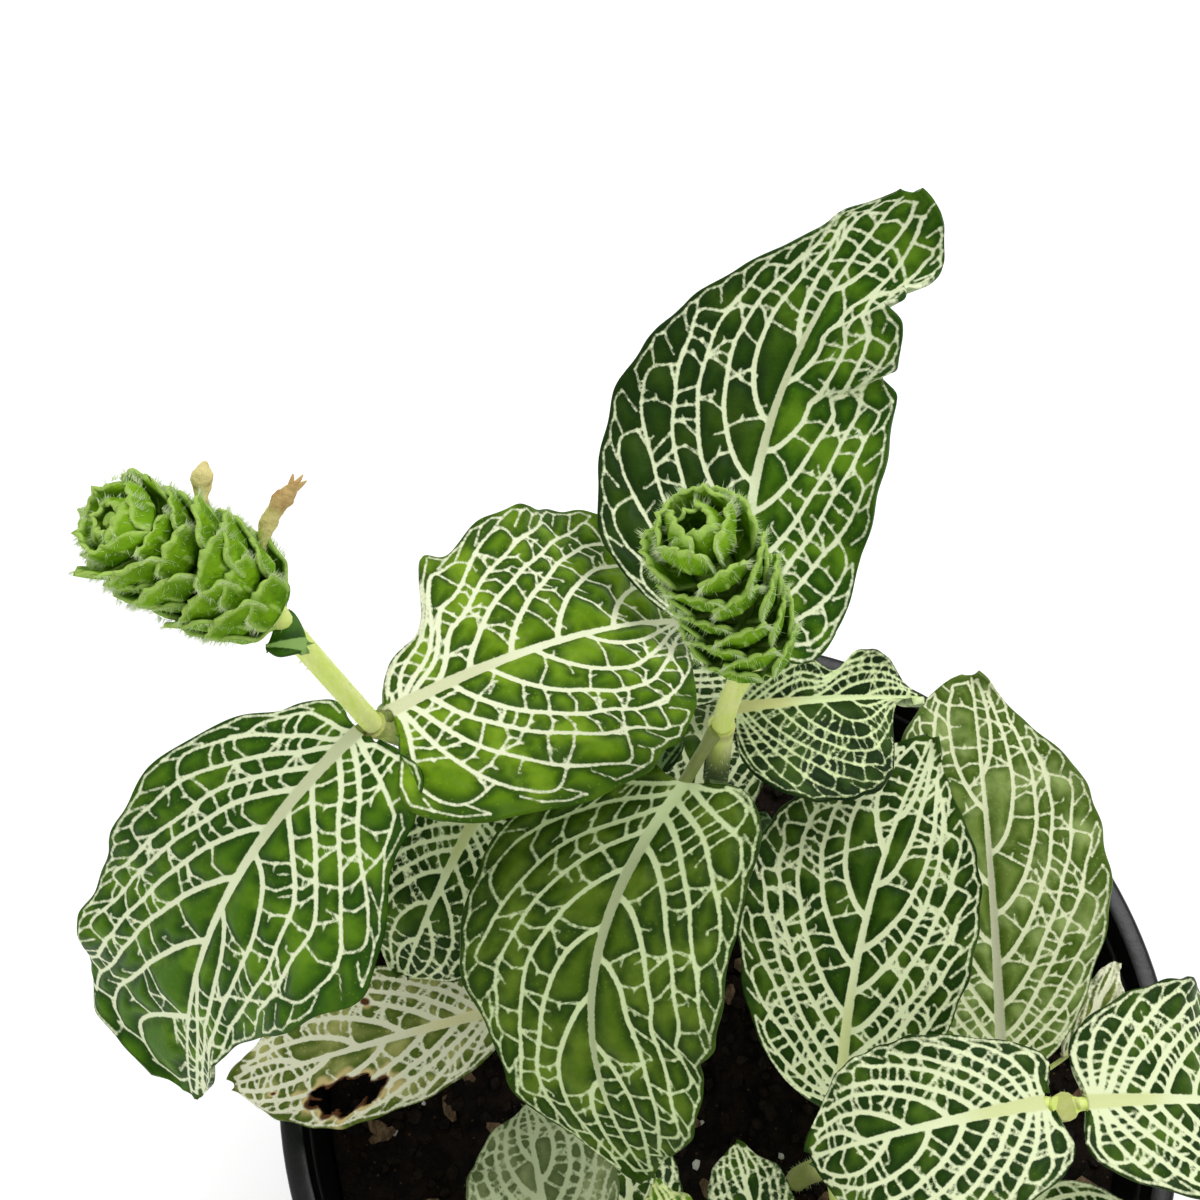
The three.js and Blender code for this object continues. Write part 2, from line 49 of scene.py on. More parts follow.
# The decimals that paths are rounded to. The digits beyond them can differ from run to run, and
# they would decide now and then where a small vein begins.
SAME_DIGITS = 9

# ------------------------------------------------------------------ the plant's own values

POT = {
    "rim_radius": 55, "height": 86, "base_radius": 39, "wall": 1.2, "floor": 1.6,
    "band_height": 9, "band_step": 1.6, "drain_holes": 8, "drain_radius": 3, "drain_ring": 28,
}
# The soil's swells are waves crossing one another: height, length and the two headings.
SOIL_LEVEL = 76
SOIL_SWELLS = [(1.4, 31, (0.3, 1.9)), (0.6, 9, (0.5, 2.4))]
SOIL_GAP, SOIL_ROUGH = 0.35, 0.75
STEM_RADIUS = 1.42
STALK_RADIUS = 1.02
# How far a petiole starts from the middle of a stem's node, and of a stalk's.
THICK_NODE, THIN_NODE = 1.5, 1.1
BRACT_HALF_WIDTH, BRACT_THICKNESS = 2.5, 0.3
HAIR_LENGTH, SPIKE_HAIR_RADIUS, STEM_HAIR_RADIUS = 0.75, 0.026, 0.03
HAIRS_PER_BRACT, HAIRS_PER_MM = 130, 9

STEMS = {
    "left": [(-17, 25, 68), (-17.6, 25, 79), (-21, 25, 98), (-25.4, 24.4, 112),
             (-37.2, 17.6, 143)],
    "middle": [(-4, 6, 68), (-4, 7, 79), (-4, 12, 102), (-3.5, 16.5, 120), (-3.6, 19.6, 138)],
    "right": [(22, -12, 68), (23, -13, 79), (27, -13, 97), (30.4, -13.5, 120)],
    "inner": [(9, -15, 68), (9, -15, 79), (10, -16, 97)],
    "front_left": [(-15, -26, 68), (-16, -27, 79), (-18, -33, 97), (-21, -38, 112)],
    "front": [(4, -30, 68), (4, -31, 79), (6, -37, 98), (9, -42, 117)],
    "back": [(-12, 30, 68), (-12, 31, 79), (-13, 34, 95), (-14, 37, 104)],
}
SPIKES = {
    "left": {"stalk": [(-42, 18.8, 160), (-43, 19.3, 163)], "tip": (-53.8, 20.2, 177.5),
             "tiers": 10, "turn": 66, "long": 4.9},
    "middle": {"stalk": [(-3, 19.8, 146), (-1.6, 20, 153)], "tip": (-8.4, 20.5, 175),
               "tiers": 9, "turn": 65, "long": 6.2},
}
# A dried flower's path, how brown it is at its end, and how many lobes it opens into.
WITHERED_FLOWERS = {
    "withered_flower_1": ([(-47, 22.2, 171.5), (-47, 24.4, 174.2), (-46.4, 25.6, 176)], 0.55, 0),
    "withered_flower_2": ([(-44, 21.6, 165.8), (-42.4, 24.2, 169.8), (-39.8, 25.6, 172.8)], 1, 4),
}

# The blade's outline and waves, as in the CAD model.
LOBE_AT = 0.08
LOBE_SWEEP = 1.7
RIB_SWEEP = 0.13
POINT_FROM = 0.45

# A finished blade: its thickness when small and when large, and its share of it at the midrib.
THICKNESS = {"small": 0.7, "large": 1.1}
MIDRIB_THICKNESS = 0.42
FULL_RELIEF_LENGTH = 40
# How high the flesh stands beside its veins and swells between the ribs, how far all of it is
# let down, and how deep and wide the midrib lies.
VEIN_RISE, RIB_RISE, LET_DOWN = 0.34, 0.5, 0.35
MIDRIB_DEPTH, MIDRIB_SPREAD = 0.28, 1.1
VEIN_ROUNDING = 0.15
# The sides of the CAD model's box that blades are held back from: axis, side and distance.
HELD_SIDES = [(0, -1, 0.4), (1, -1, 0.4), (1, 1, 0.75)]
HOLD_FROM = 0.8
# Brown spots of the yellowing leaf: where along and across it they are, and their size.
BROWN_SPOTS = [(0.4, 0.8, 0.028), (0.42, 0.57, 0.024), (0.82, -0.6, 0.02)]

# What a leaf has unless it says otherwise. Pairs are for its left and its right side.
#   roll, bow, sway, fold, wave, crests: how the blade turns, arches, bends, folds and ruffles
#   lobe, taper, widest, point, blunt: how the outline curves, and bumps are (side, where along
#   the midrib, spread, millimetres); crease is a fold across the blade (side, where, height)
#   shade: painted shade on the left side's base; dull: where the midrib is dull, along the midrib
#   ribs, sweep, net, bold: how many side ribs, how far they sweep forward, how far apart the
#   veins are and how thick; spacing: the mesh's, in millimetres
#   hole: where along and across it is, and how long and wide
COMMON_LEAF = {
    "roll": 0, "bow": 2, "sway": 0, "fold": 0.05, "wave": (0.7, 0.7), "crests": 3,
    "lobe": 0.05, "taper": (0.55, 0.55), "widest": (0.42, 0.42), "point": (0.25, 0.25),
    "blunt": (0, 0), "bumps": [], "crease": None, "shade": 0, "dull": (-1, 0.3),
    "finish": "deep_green", "ribs": 8, "sweep": (0.5, 0.5), "net": 1.0, "bold": 1.0,
    "spacing": 0.3, "hole": None,
}


def leaf(stem, at, base, tip, half, **own):
    """A leaf on a stem's numbered point: its midrib's ends, its half widths, and its own ways."""
    return {"stem": stem, "at": at, "base": base, "tip": tip, "half": half, **own}


LEAVES = {
    "leaf_left": leaf("left", 4, (-38.6, 16.6, 143.7), (-58.8, -11, 110), (16.5, 14.5), roll=-4,
        bow=5, sway=3, wave=(0.8, 1), lobe=0.09, taper=(0.45, 0.5), widest=(0.34, 0.52),
        point=(0.85, -0.3), bumps=[(1, 0.06, 0.05, -1.6), (1, 0.105, 0.02, -0.8),
        (1, 0.22, 0.07, 1.6), (1, 0.88, 0.09, 3.2), (-1, 0.05, 0.05, -1.2),
        (-1, 0.14, 0.06, -2.2), (-1, 0.3, 0.05, 1.9), (-1, 0.55, 0.17, -5.2)], blunt=(1.4, 1),
        finish="fresh_green", ribs=9, bold=0.9, sweep=(0.5, 0.54), spacing=0.2),
    "leaf_centre": leaf("left", 4, (-35.4, 18.9, 143.8), (-3.4, 37.4, 126.5), (15.5, 18),
        roll=2, bow=3.5, sway=-0.5, wave=(1.2, 0.4), lobe=(0.05, 0.17), taper=(0.9, 0.6),
        widest=(0.5, 0.32), point=(0, 1.1), bumps=[(-1, 0.3, 0.12, 2), (-1, 0.2, 0.03, 2.6),
        (-1, 0.13, 0.045, -2), (-1, 0.03, 0.03, -0.2), (-1, 0.62, 0.12, 1.5),
        (1, 0.02, 0.03, 1.2), (1, 0.44, 0.1, -1.7)], finish="bright_green", ribs=9, bold=0.9,
        sweep=(0.5, 0.56), spacing=0.2),
    # Painted shade darkens the left half of this leaf's base.
    "leaf_back": leaf("middle", 4, (-0.8, 28.9, 137), (13.9, 63.4, 166), (16.6, 12.5), bow=-3,
        sway=-5.5, fold=0.1, wave=(0.8, 1.6), taper=(0.5, 0.5), widest=(0.28, 0.28),
        point=(0.45, 0), bumps=[(-1, 0.12, 0.06, 1.3), (-1, 0.45, 0.12, -1.2),
        (-1, 0.9, 0.08, 2.2), (1, 0.5, 0.014, -1.7), (1, 0.655, 0.02, -1.9)], blunt=(0, 4.2),
        crease=(1, 0.53, 2.2), dull=(0.36, 0.72), shade=0.75, finish="fresh_green", ribs=9,
        bold=0.84, sweep=(0.5, 0.48), spacing=0.2),
    "leaf_front": leaf("middle", 4, (-6.9, 15.6, 133), (-10.5, -19.4, 112), (12.8, 14), roll=-5,
        bow=5.5, sway=7, wave=(1.2, 0.8), lobe=(0.06, 0.13), taper=(0.45, 0.55),
        widest=(0.32, 0.42), point=(0.3, 0.4), bumps=[(-1, 0.52, 0.03, -1),
        (-1, 0.75, 0.15, 1.5), (-1, 0.04, 0.04, -0.8), (1, 0.05, 0.05, 1.4), (1, 0.17, 0.09, 3),
        (1, 0.53, 0.14, -3.2)], finish="dull_green", dull=(0.14, 0.75), ribs=8, net=1.15,
        bold=0.84, spacing=0.2),
    "leaf_folded": leaf("middle", 3, (-1.2, 28.5, 122), (21.6, 32.5, 116), (5.5, 12), roll=-10,
        fold=0.3, wave=(1, 1), crests=2, lobe=0.08, widest=(0.4, 0.3),
        bumps=[(-1, 0.4, 0.07, -2.3), (1, 0.74, 0.16, -3.6)], finish="folded_green", ribs=10,
        net=0.6, bold=0.5, spacing=0.17),
    "leaf_right_inner": leaf("inner", 2, (11.5, -10.4, 98), (22.2, 27.4, 117), (14.2, 12),
        sway=-2.5, fold=0.1, lobe=0.03, widest=(0.42, 0.38), point=(0.25, 0.5), ribs=10,
        net=0.74, spacing=0.2),
    "leaf_right_outer": leaf("right", 2, (31.1, -5.9, 95), (28.8, 37.6, 112), (12.5, 13.5),
        wave=(0.7, 1), lobe=0.02, widest=(0.5, 0.42), point=(0.25, 0.5), finish="grey_green",
        ribs=9, net=0.95, bold=0.88, dull=(-1, 0.6), spacing=0.2),
    "leaf_low_inner": leaf("right", 3, (28.2, -13.2, 121), (5.7, -17.3, 113), (10.5, 8.5),
        bow=3, lobe=0.14, point=(0.1, 0.1), ribs=9, net=0.7, bold=0.86, spacing=0.2),
    "leaf_low_outer": leaf("right", 3, (32.6, -13.2, 121), (53, -12, 108), (12, 10), bow=4,
        lobe=0.12, point=(0.1, 0.1), ribs=9, net=0.72, bold=0.96, spacing=0.2),
    "leaf_shaded": leaf("left", 3, (-29.6, 19.8, 112), (-38.4, 4.2, 100), (9.5, 10), lobe=0.12,
        bold=0.8, net=0.7),
    "leaf_yellowing": leaf("left", 2, (-27.5, 1.5, 96), (-59.1, -6.3, 91), (8.5, 8.5), bow=1,
        wave=(1, 1), finish="yellowing", bold=1.1, net=0.8, spacing=0.26,
        hole=(0.53, -0.62, 0.115, 0.2)),
    "leaf_pale": leaf("front_left", 2, (-20, -28.5, 99), (-24.3, -8.7, 93), (8, 8.5),
        widest=(0.36, 0.36), finish="faded", net=0.6, bold=0.95),
    "leaf_under_centre": leaf("middle", 2, (-9, 24, 114), (-22.4, 43.9, 108), (8.5, 8.5),
        finish="shaded_green", bold=0.7),
    "leaf_under_front": leaf("middle", 2, (0, 15.5, 103), (7, 22, 101), (4.5, 4.5), ribs=6,
        net=0.6, bold=0.6, finish="shaded_green"),
    "leaf_withered": leaf("right", 1, (40.5, -3, 90), (46.5, 7.5, 94.5), (2.2, 2.2), fold=0.6,
        finish="yellowing", ribs=5, bold=0.6),
    "leaf_dark_left": leaf("front_left", 2, (-12, -28, 93), (-12.5, -10, 87), (6, 6), bold=0.7,
        net=0.7),
    "leaf_dark_right": leaf("front", 2, (3.4, -30, 94), (0, -12.7, 90), (5, 5), bold=0.6,
        net=0.8),
    "leaf_young": leaf("front", 2, (-3.5, -32.5, 102.6), (-9.8, -17.8, 97), (3.5, 3.5),
        finish="young_green", ribs=6, bold=0.75),
    "leaf_inner_front": leaf("inner", 2, (11, -20.5, 96), (21, -42, 90), (7, 8)),
    "leaf_left_back": leaf("left", 3, (-30, 27.5, 108), (-34, 44, 93), (8, 8)),
    "leaf_middle_back": leaf("middle", 1, (-5, 18, 102), (-1, 44, 94), (8, 8)),
    "leaf_low_back_left": leaf("back", 3, (-19, 38.4, 105), (-28, 55, 99), (8, 8)),
    "leaf_low_back_right": leaf("back", 3, (-9.5, 39, 105), (5, 51, 99), (8, 8)),
    "leaf_fore_left": leaf("front_left", 3, (-27, -40, 112), (-56, -48, 99), (12, 12), bow=4,
        finish="fresh_green"),
    "leaf_fore_middle": leaf("front_left", 3, (-16, -42, 112), (-2, -70, 103), (11, 11), bow=4,
        finish="fresh_green"),
    "leaf_fore_right": leaf("front", 3, (14.5, -44, 117), (42, -54, 105), (12, 12), bow=4,
        finish="fresh_green"),
    "leaf_fore_top": leaf("front", 3, (3.5, -40, 118), (-23, -31, 124), (11, 11), bow=3,
        finish="bright_green"),
    "leaf_fore_low": leaf("front", 2, (9, -43, 97), (24, -68, 91), (9, 9)),
    "leaf_fore_low_left": leaf("front_left", 2, (-22, -39, 97), (-37, -62, 91), (9, 9)),
    "leaf_right_low": leaf("right", 2, (32, -20, 97), (52, -40, 91), (9, 9)),
}
STALK_BRACTS = {
    "stalk_bract_1": dict(base=(-40.2, 16.9, 161.4), tip=(-43.6, 16.6, 161.7),
        half=(1.1, 3.2), widest=(0.5, 0.36), taper=(0.7, 1.1)),
    "stalk_bract_2": dict(base=(-43.2, 20.8, 160.6), tip=(-44, 23.6, 161),
        finish="pale_bract"),
}
SMALL_BRACT = {"stem": "left", "at": 5, "half": (1.4, 1.4), "bow": 0.3, "wave": (0, 0),
               "finish": "dark_bract", "ribs": 0, "bold": 0.2, "spacing": 0.1}


# ------------------------------------------------------------------ shaders

def paint(red, green, blue):
    """A screen colour, 0 to 255, as the linear colour that a shader takes."""
    return tuple(((c / 255 + 0.055) / 1.055) ** 2.4 if c > 10 else c / 3294
                 for c in (red, green, blue)) + (1,)


class Value:
    """A number on a surface. Plain arithmetic on it adds the Math nodes that it needs."""

    def __init__(self, finish, socket):
        self.finish = finish
        self.socket = socket

    def __add__(self, other):
        return self.finish.math("ADD", self, other)

    def __sub__(self, other):
        return self.finish.math("SUBTRACT", self, other)

    def __rsub__(self, other):
        return self.finish.math("SUBTRACT", other, self)

    def __mul__(self, other):
        return self.finish.math("MULTIPLY", self, other)

    __radd__ = __add__


class Finish:
    """A material whose nodes are added one at a time."""

    def __init__(self, name):
        self.material = bpy.data.materials.new(name)
        self.material.use_nodes = True
        self.tree = self.material.node_tree
        self.tree.nodes.clear()
        self.output = self.tree.nodes.new("ShaderNodeOutputMaterial")
        self.surface = self.tree.nodes.new("ShaderNodeBsdfPrincipled")
        self.tree.links.new(self.surface.outputs["BSDF"], self.output.inputs["Surface"])

    def node(self, kind, settings=None, inputs=None, output=0):
        """Adds one node: its settings first, then the values or links of its sockets."""
        node = self.tree.nodes.new("ShaderNode" + kind)
        for key, setting in (settings or {}).items():
            if key == "stops":
                self.set_stops(node.color_ramp, setting)
            else:
                setattr(node, key, setting)
        for key, value in (inputs or {}).items():
            self.feed(node.inputs[key], value)
        return Value(self, node.outputs[output])

    @staticmethod
    def set_stops(ramp, stops):
        while len(ramp.elements) < len(stops):
            ramp.elements.new(0.5)
        for element, (position, colour) in zip(ramp.elements, stops):
            element.position = position
            element.color = colour

    def feed(self, socket, value):
        if isinstance(value, Value):
            self.tree.links.new(value.socket, socket)
        else:
            socket.default_value = value

    def math(self, operation, *values):
        return self.node("Math", {"operation": operation}, dict(enumerate(values)))

    def step(self, value, low, high):
        """0 below low and 1 above high, with a smooth rise between them."""
        return self.node("MapRange", {"interpolation_type": "SMOOTHSTEP", "clamp": True},
                         {"Value": value, "From Min": low, "From Max": high})

    def mix(self, share, first, second):
        return self.node("Mix", {"data_type": "RGBA"}, {0: share, 6: first, 7: second}, 2)

    def place(self):
        return self.node("TexCoord", output="Object")

    def grain(self, scale, detail=2, roughness=0.5, stretch=None):
        """Noise from 0 to 1, with scale counted in waves per metre."""
        where = self.place()
        if stretch:
            where = self.node("Mapping", inputs={"Vector": where, "Scale": stretch})
        return self.node("TexNoise", inputs={
            "Vector": where, "Scale": scale, "Detail": detail, "Roughness": roughness})

    def specks(self, scale, size):
        """1 inside round spots of a share of a cell's size."""
        spots = self.node("TexVoronoi", inputs={"Vector": self.place(), "Scale": scale})
        return 1 - self.step(spots, size * 0.6, size)

    def attribute(self, name):
        return self.node("Attribute", {"attribute_name": name}, output="Fac")

    def coat(self, colour, roughness, bump=None, depth=0.0002, **constants):
        """Finishes the material: what varies feeds colour, roughness and bump."""
        self.feed(self.surface.inputs["Base Color"], colour)
        self.feed(self.surface.inputs["Roughness"], roughness)
        for key, value in constants.items():
            self.surface.inputs[key.replace("_", " ").title().replace("Ior", "IOR")
                                ].default_value = value
        if bump is not None:
            raised = self.node("Bump", inputs={"Height": bump, "Distance": depth}, output="Normal")
            self.feed(self.surface.inputs["Normal"], raised)
        return self.material


# Greens of each leaf finish: near the veins, in the middle of a cell, and its lightest mottle;
# then the veins and the midrib.
LEAF_GREENS = {
    "bright_green": [(50, 84, 2), (98, 138, 6), (130, 168, 28), (250, 255, 218), (222, 226, 180)],
    "fresh_green": [(36, 74, 2), (70, 114, 5), (100, 142, 22), (246, 255, 212), (210, 216, 172)],
    "dull_green": [(38, 66, 4), (74, 104, 12), (100, 128, 32), (218, 234, 178), (172, 182, 138)],
    "deep_green": [(26, 56, 2), (50, 84, 6), (82, 114, 26), (242, 252, 204), (222, 230, 160)],
    "folded_green": [(16, 42, 2), (34, 64, 6), (62, 92, 20), (236, 252, 190), (230, 230, 150)],
    "dark_bract": [(34, 70, 6), (54, 96, 16), (78, 122, 36), (140, 176, 96), (140, 176, 96)],
    "pale_bract": [(72, 118, 2), (100, 148, 14), (124, 170, 36), (184, 216, 112),
                   (184, 216, 112)],
    # shaded_green is painted shade: a darker copy of the leaf green for leaves that lie under
    # others.
    "shaded_green": [(18, 42, 5), (34, 62, 12), (56, 84, 28), (120, 150, 96), (110, 128, 84)],
    "grey_green": [(76, 104, 26), (118, 142, 60), (156, 178, 102), (246, 252, 208),
                   (200, 202, 170)],
    "yellowing": [(88, 110, 32), (134, 146, 74), (198, 198, 120), (255, 255, 224),
                  (250, 246, 188)],
    "faded": [(92, 108, 62), (122, 138, 88), (156, 168, 116), (204, 216, 172), (212, 218, 176)],
    "young_green": [(84, 128, 14), (118, 160, 26), (150, 184, 48), (240, 252, 176),
                    (222, 236, 140)],
}


def leaf_finish(name):
    near, middle, light, vein, midrib = (paint(*c) for c in LEAF_GREENS[name])
    leaf = Finish(name)
    net = leaf.attribute("net") + (leaf.grain(2600, 2) - 0.5) * 0.16
    flesh = leaf.mix(leaf.step(net, 0.05, 1.1), near, middle)
    flesh = leaf.mix(leaf.step(leaf.grain(260, 3), 0.42, 0.74), flesh, light)
    flesh = leaf.mix(leaf.step(leaf.attribute("across"), 0.86, 0.97) * 0.55, flesh, near)
    flesh = leaf.mix(leaf.specks(1500, 0.22) * 0.35, flesh, light)
    # Painted shade: a leaf's shade number darkens its flesh toward a deep green.
    flesh = leaf.mix(leaf.attribute("shade"), flesh, paint(18, 42, 4))
    harm = leaf.attribute("harm") + (leaf.grain(420, 4) - 0.5) * 0.7
    flesh = leaf.mix(leaf.step(harm, 0.25, 0.6), flesh, paint(226, 206, 142))
    lines = leaf.mix(leaf.attribute("midrib") * leaf.attribute("dull") * 0.85, vein, midrib)
    veined = 1 - leaf.step(net, -0.07, 0.06)
    colour = leaf.mix(veined, flesh, lines)
    colour = leaf.mix(leaf.step(harm, 0.62, 0.85), colour, paint(96, 58, 28))
    gloss = 0.46 + (leaf.grain(700, 3) - 0.5) * 0.2 + veined * 0.1
    bump = leaf.grain(3200, 2) * 0.5 + leaf.grain(900, 3) * 0.5 - veined * 0.3
    return leaf.coat(colour, gloss, bump, 0.00012, specular_ior_level=0.12)


def underside_finish(name):
    near, middle, _, vein, _ = (paint(*c) for c in LEAF_GREENS[name])
    under = Finish(name + "_underside")
    pale = paint(148, 172, 120)
    net = under.attribute("net")
    flesh = under.mix(0.62, middle, pale)
    flesh = under.mix(under.step(under.grain(300, 3), 0.35, 0.75) * 0.5, flesh, near)
    veined = 1 - under.step(net, -0.1, 0.16)
    colour = under.mix(veined * 0.75, flesh, paint(198, 212, 168))
    return under.coat(colour, 0.62, under.grain(2400, 3) + veined * 0.6, 0.00015,
                      specular_ior_level=0.3)


def bract_finish():
    bract = Finish("bract_green")
    edge = bract.attribute("across") + (bract.grain(1500, 2) - 0.5) * 0.1
    flesh = bract.mix(bract.step(bract.grain(420, 3), 0.34, 0.7), paint(76, 124, 2),
                      paint(120, 170, 16))
    # Lighter toward the tip: painted shade darkens each bract's root, which lies deep among the
    # others.
    flesh = bract.mix(bract.step(bract.attribute("along"), 0.25, 0.95) * 0.4, flesh,
                      paint(150, 194, 44))
    pale = bract.step(edge, 0.7, 1) * 0.85 + (1 - bract.step(edge, 0.02, 0.12)) * 0.55
    colour = bract.mix(pale, flesh, paint(184, 216, 112))
    bump = bract.grain(1900, 3) + bract.grain(600, 2) * 0.6
    return bract.coat(colour, 0.68, bump, 0.00026, specular_ior_level=0.08)


def stem_finish():
    stem = Finish("stem_flesh")
    streaks = stem.grain(900, 4, 0.6, stretch=(1, 1, 0.14))
    flesh = stem.mix(stem.step(streaks, 0.3, 0.7), paint(228, 248, 124), paint(250, 255, 172))
    colour = stem.mix(stem.step(stem.attribute("node"), 0.3, 0.9) * 0.6, flesh,
                      paint(152, 150, 84))
    # Painted shade: the low number darkens stems and petioles below the leaves toward a dark
    # olive.
    colour = stem.mix(stem.attribute("low"), colour, paint(50, 72, 20))
    return stem.coat(colour, 0.5, streaks + stem.grain(3000, 2) * 0.5, 0.00015,
                     specular_ior_level=0.4)


def hair_finish():
    hair = Finish("soft_hairs")
    return hair.coat(hair.mix(hair.grain(900), paint(206, 232, 150), paint(240, 250, 216)), 0.6)


def withered_finish():
    dry = Finish("withered_flower")
    blotch = dry.grain(520, 4, 0.65)
    tube = dry.mix(dry.step(blotch, 0.5, 0.72), paint(250, 236, 160), paint(170, 120, 72))
    browned = dry.step(dry.attribute("along") + (blotch - 0.5) * 0.7, 0.45, 0.8)
    colour = dry.mix(browned * 0.6, tube, paint(204, 150, 96))
    return dry.coat(colour, 0.75, dry.grain(1400, 4, 0.7) + blotch, 0.0004,
                    specular_ior_level=0.25)


def pot_finish():
    pot = Finish("pot_plastic")
    dust = pot.step(pot.grain(70, 5, 0.65), 0.5, 0.85)
    fine = pot.grain(900, 3)
    film = dust * pot.step(fine, 0.35, 0.75)
    colour = pot.mix(film * 0.3, paint(9, 10, 12), paint(104, 104, 104))
    colour = pot.mix(pot.specks(480, 0.16) * dust, colour, paint(120, 104, 84))
    scuffs = pot.grain(420, 4, 0.7, stretch=(1, 1, 0.08))
    gloss = 0.26 + film * 0.35 + scuffs * 0.14
    return pot.coat(colour, gloss, scuffs + fine * 0.4, 0.00006, specular_ior_level=0.4)


def soil_finish():
    soil = Finish("soil_mix")
    lumps = soil.grain(330, 6, 0.7)
    colour = soil.mix(soil.step(lumps, 0.35, 0.7), paint(9, 6, 5), paint(38, 26, 18))
    colour = soil.mix(soil.specks(700, 0.14) * 0.6, colour, paint(112, 82, 56))
    return soil.coat(colour, 0.88, lumps + soil.grain(1600, 4, 0.7) * 0.5, 0.0009,
                     specular_ior_level=0.2)


def chip_finish(name, dark, light, roughness=0.85):
    chip = Finish(name)
    fibre = chip.grain(1100, 5, 0.7, stretch=(1, 0.35, 1))
    return chip.coat(chip.mix(chip.step(fibre, 0.3, 0.72), paint(*dark), paint(*light)),
                     roughness, fibre, 0.0004, specular_ior_level=0.2)


def floor_finish():
    floor = Finish("pale_floor")
    return floor.coat(floor.mix(floor.grain(20, 3), paint(246, 246, 246), paint(250, 250, 250)),
                      0.7, specular_ior_level=0.2, emission_color=(1, 1, 1, 1),
                      emission_strength=0.36)


# ------------------------------------------------------------------ pieces and tubes

def make_piece(name, mesh, materials, nodes=(), smooth=True):
    piece = bpy.data.objects.new(name, mesh)
    bpy.context.scene.collection.objects.link(piece)
    mesh.materials.clear()
    for material in materials:
        mesh.materials.append(material)
    mesh.polygons.foreach_set("use_smooth", [smooth] * len(mesh.polygons))
    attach(piece, "root")
    if nodes:
        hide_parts(*nodes)
    return piece


def to_mesh(name, build):
    mesh = bpy.data.meshes.new(name)
    build.to_mesh(mesh)
    build.free()
    return mesh


def places(mesh):
    flat = np.empty(len(mesh.vertices) * 3)
    mesh.vertices.foreach_get("co", flat)
    return flat.reshape(-1, 3)


def move_to(mesh, points):
    mesh.vertices.foreach_set("co", np.asarray(points, dtype=float).ravel())
    mesh.update()


def keep(mesh, name, values):
    """Stores one number for each vertex, for the shaders to read."""
    attribute = mesh.attributes.new(name, "FLOAT", "POINT")
    attribute.data.foreach_set("value", np.asarray(values, dtype=np.float32))


def baked(piece):
    """The piece's mesh with its modifiers applied, in place of the one it has."""
    graph = bpy.context.evaluated_depsgraph_get()
    mesh = bpy.data.meshes.new_from_object(piece.evaluated_get(graph))
    piece.modifiers.clear()
    piece.data = mesh
    return mesh


def add_shell(piece, thickness):
    """Gives a sheet a thickness in millimetres, below its upper face."""
    shell = piece.modifiers.new("shell", "SOLIDIFY")
    shell.thickness = thickness * MM
    shell.offset = -1
    return shell


def smooth_path(points, count):
    """Points spread along a smooth curve through the given ones."""
    points = [np.array(p, float) for p in points]
    ends = [2 * points[0] - points[1], *points, 2 * points[-1] - points[-2]]
    fine = []
    for i in range(1, len(ends) - 2):
        a, b, c, d = ends[i - 1:i + 3]
        for t in np.linspace(0, 1, 16, endpoint=i == len(ends) - 3):
            fine.append(0.5 * (2 * b + t * (c - a) + t * t * (2 * a - 5 * b + 4 * c - d)
                               + t ** 3 * (3 * b - a - 3 * c + d)))
    fine = np.array(fine)
    walked = np.concatenate([[0], np.cumsum(np.linalg.norm(np.diff(fine, axis=0), axis=1))])
    stops = np.linspace(0, walked[-1], count)
    path = np.stack([np.interp(stops, walked, fine[:, k]) for k in range(fine.shape[1])], 1)
    return path.round(SAME_DIGITS)


def tube_mesh(name, path, radii, sides=16):
    """A closed round tube along a path, in millimetres, with a radius at each point."""
    curve = bpy.data.curves.new(name, "CURVE")
    curve.dimensions = "3D"
    curve.bevel_depth = MM
    curve.bevel_resolution = max(0, sides // 4 - 1)
    curve.use_fill_caps = True
    spline = curve.splines.new("POLY")
    spline.points.add(len(path) - 1)
    for point, place, radius in zip(spline.points, path, radii):
        point.co = (*(Vector(place) * MM), 1)
        point.radius = radius
    holder = bpy.data.objects.new(name, curve)
    mesh = bpy.data.meshes.new_from_object(holder)
    bpy.data.objects.remove(holder)
    bpy.data.curves.remove(curve)
    return mesh


def joined_mesh(name, meshes):
    build = bmesh.new()
    for mesh in meshes:
        build.from_mesh(mesh)
    return to_mesh(name, build)


def stamped(name, shape, frames):
    """Copies of one small mesh, one for each 4 by 4 matrix."""
    points = np.c_[places(shape), np.ones(len(shape.vertices))]
    frames = np.array([list(map(list, f)) for f in frames])
    placed = np.einsum("nij,vj->nvi", frames, points)[..., :3].reshape(-1, 3)
    faces = [list(face.vertices) for face in shape.polygons]
    size = len(points)
    mesh = bpy.data.meshes.new(name)
    mesh.from_pydata(placed.tolist(), [],
                     [[n * size + v for v in face] for n in range(len(frames)) for face in faces])
    return mesh


# ------------------------------------------------------------------ the blade of a leaf

def unit(vector):
    return vector / np.linalg.norm(vector)


def smoothstep(low, high, value):
    t = np.clip((value - low) / (high - low), 0, 1)
    return t * t * (3 - 2 * t)


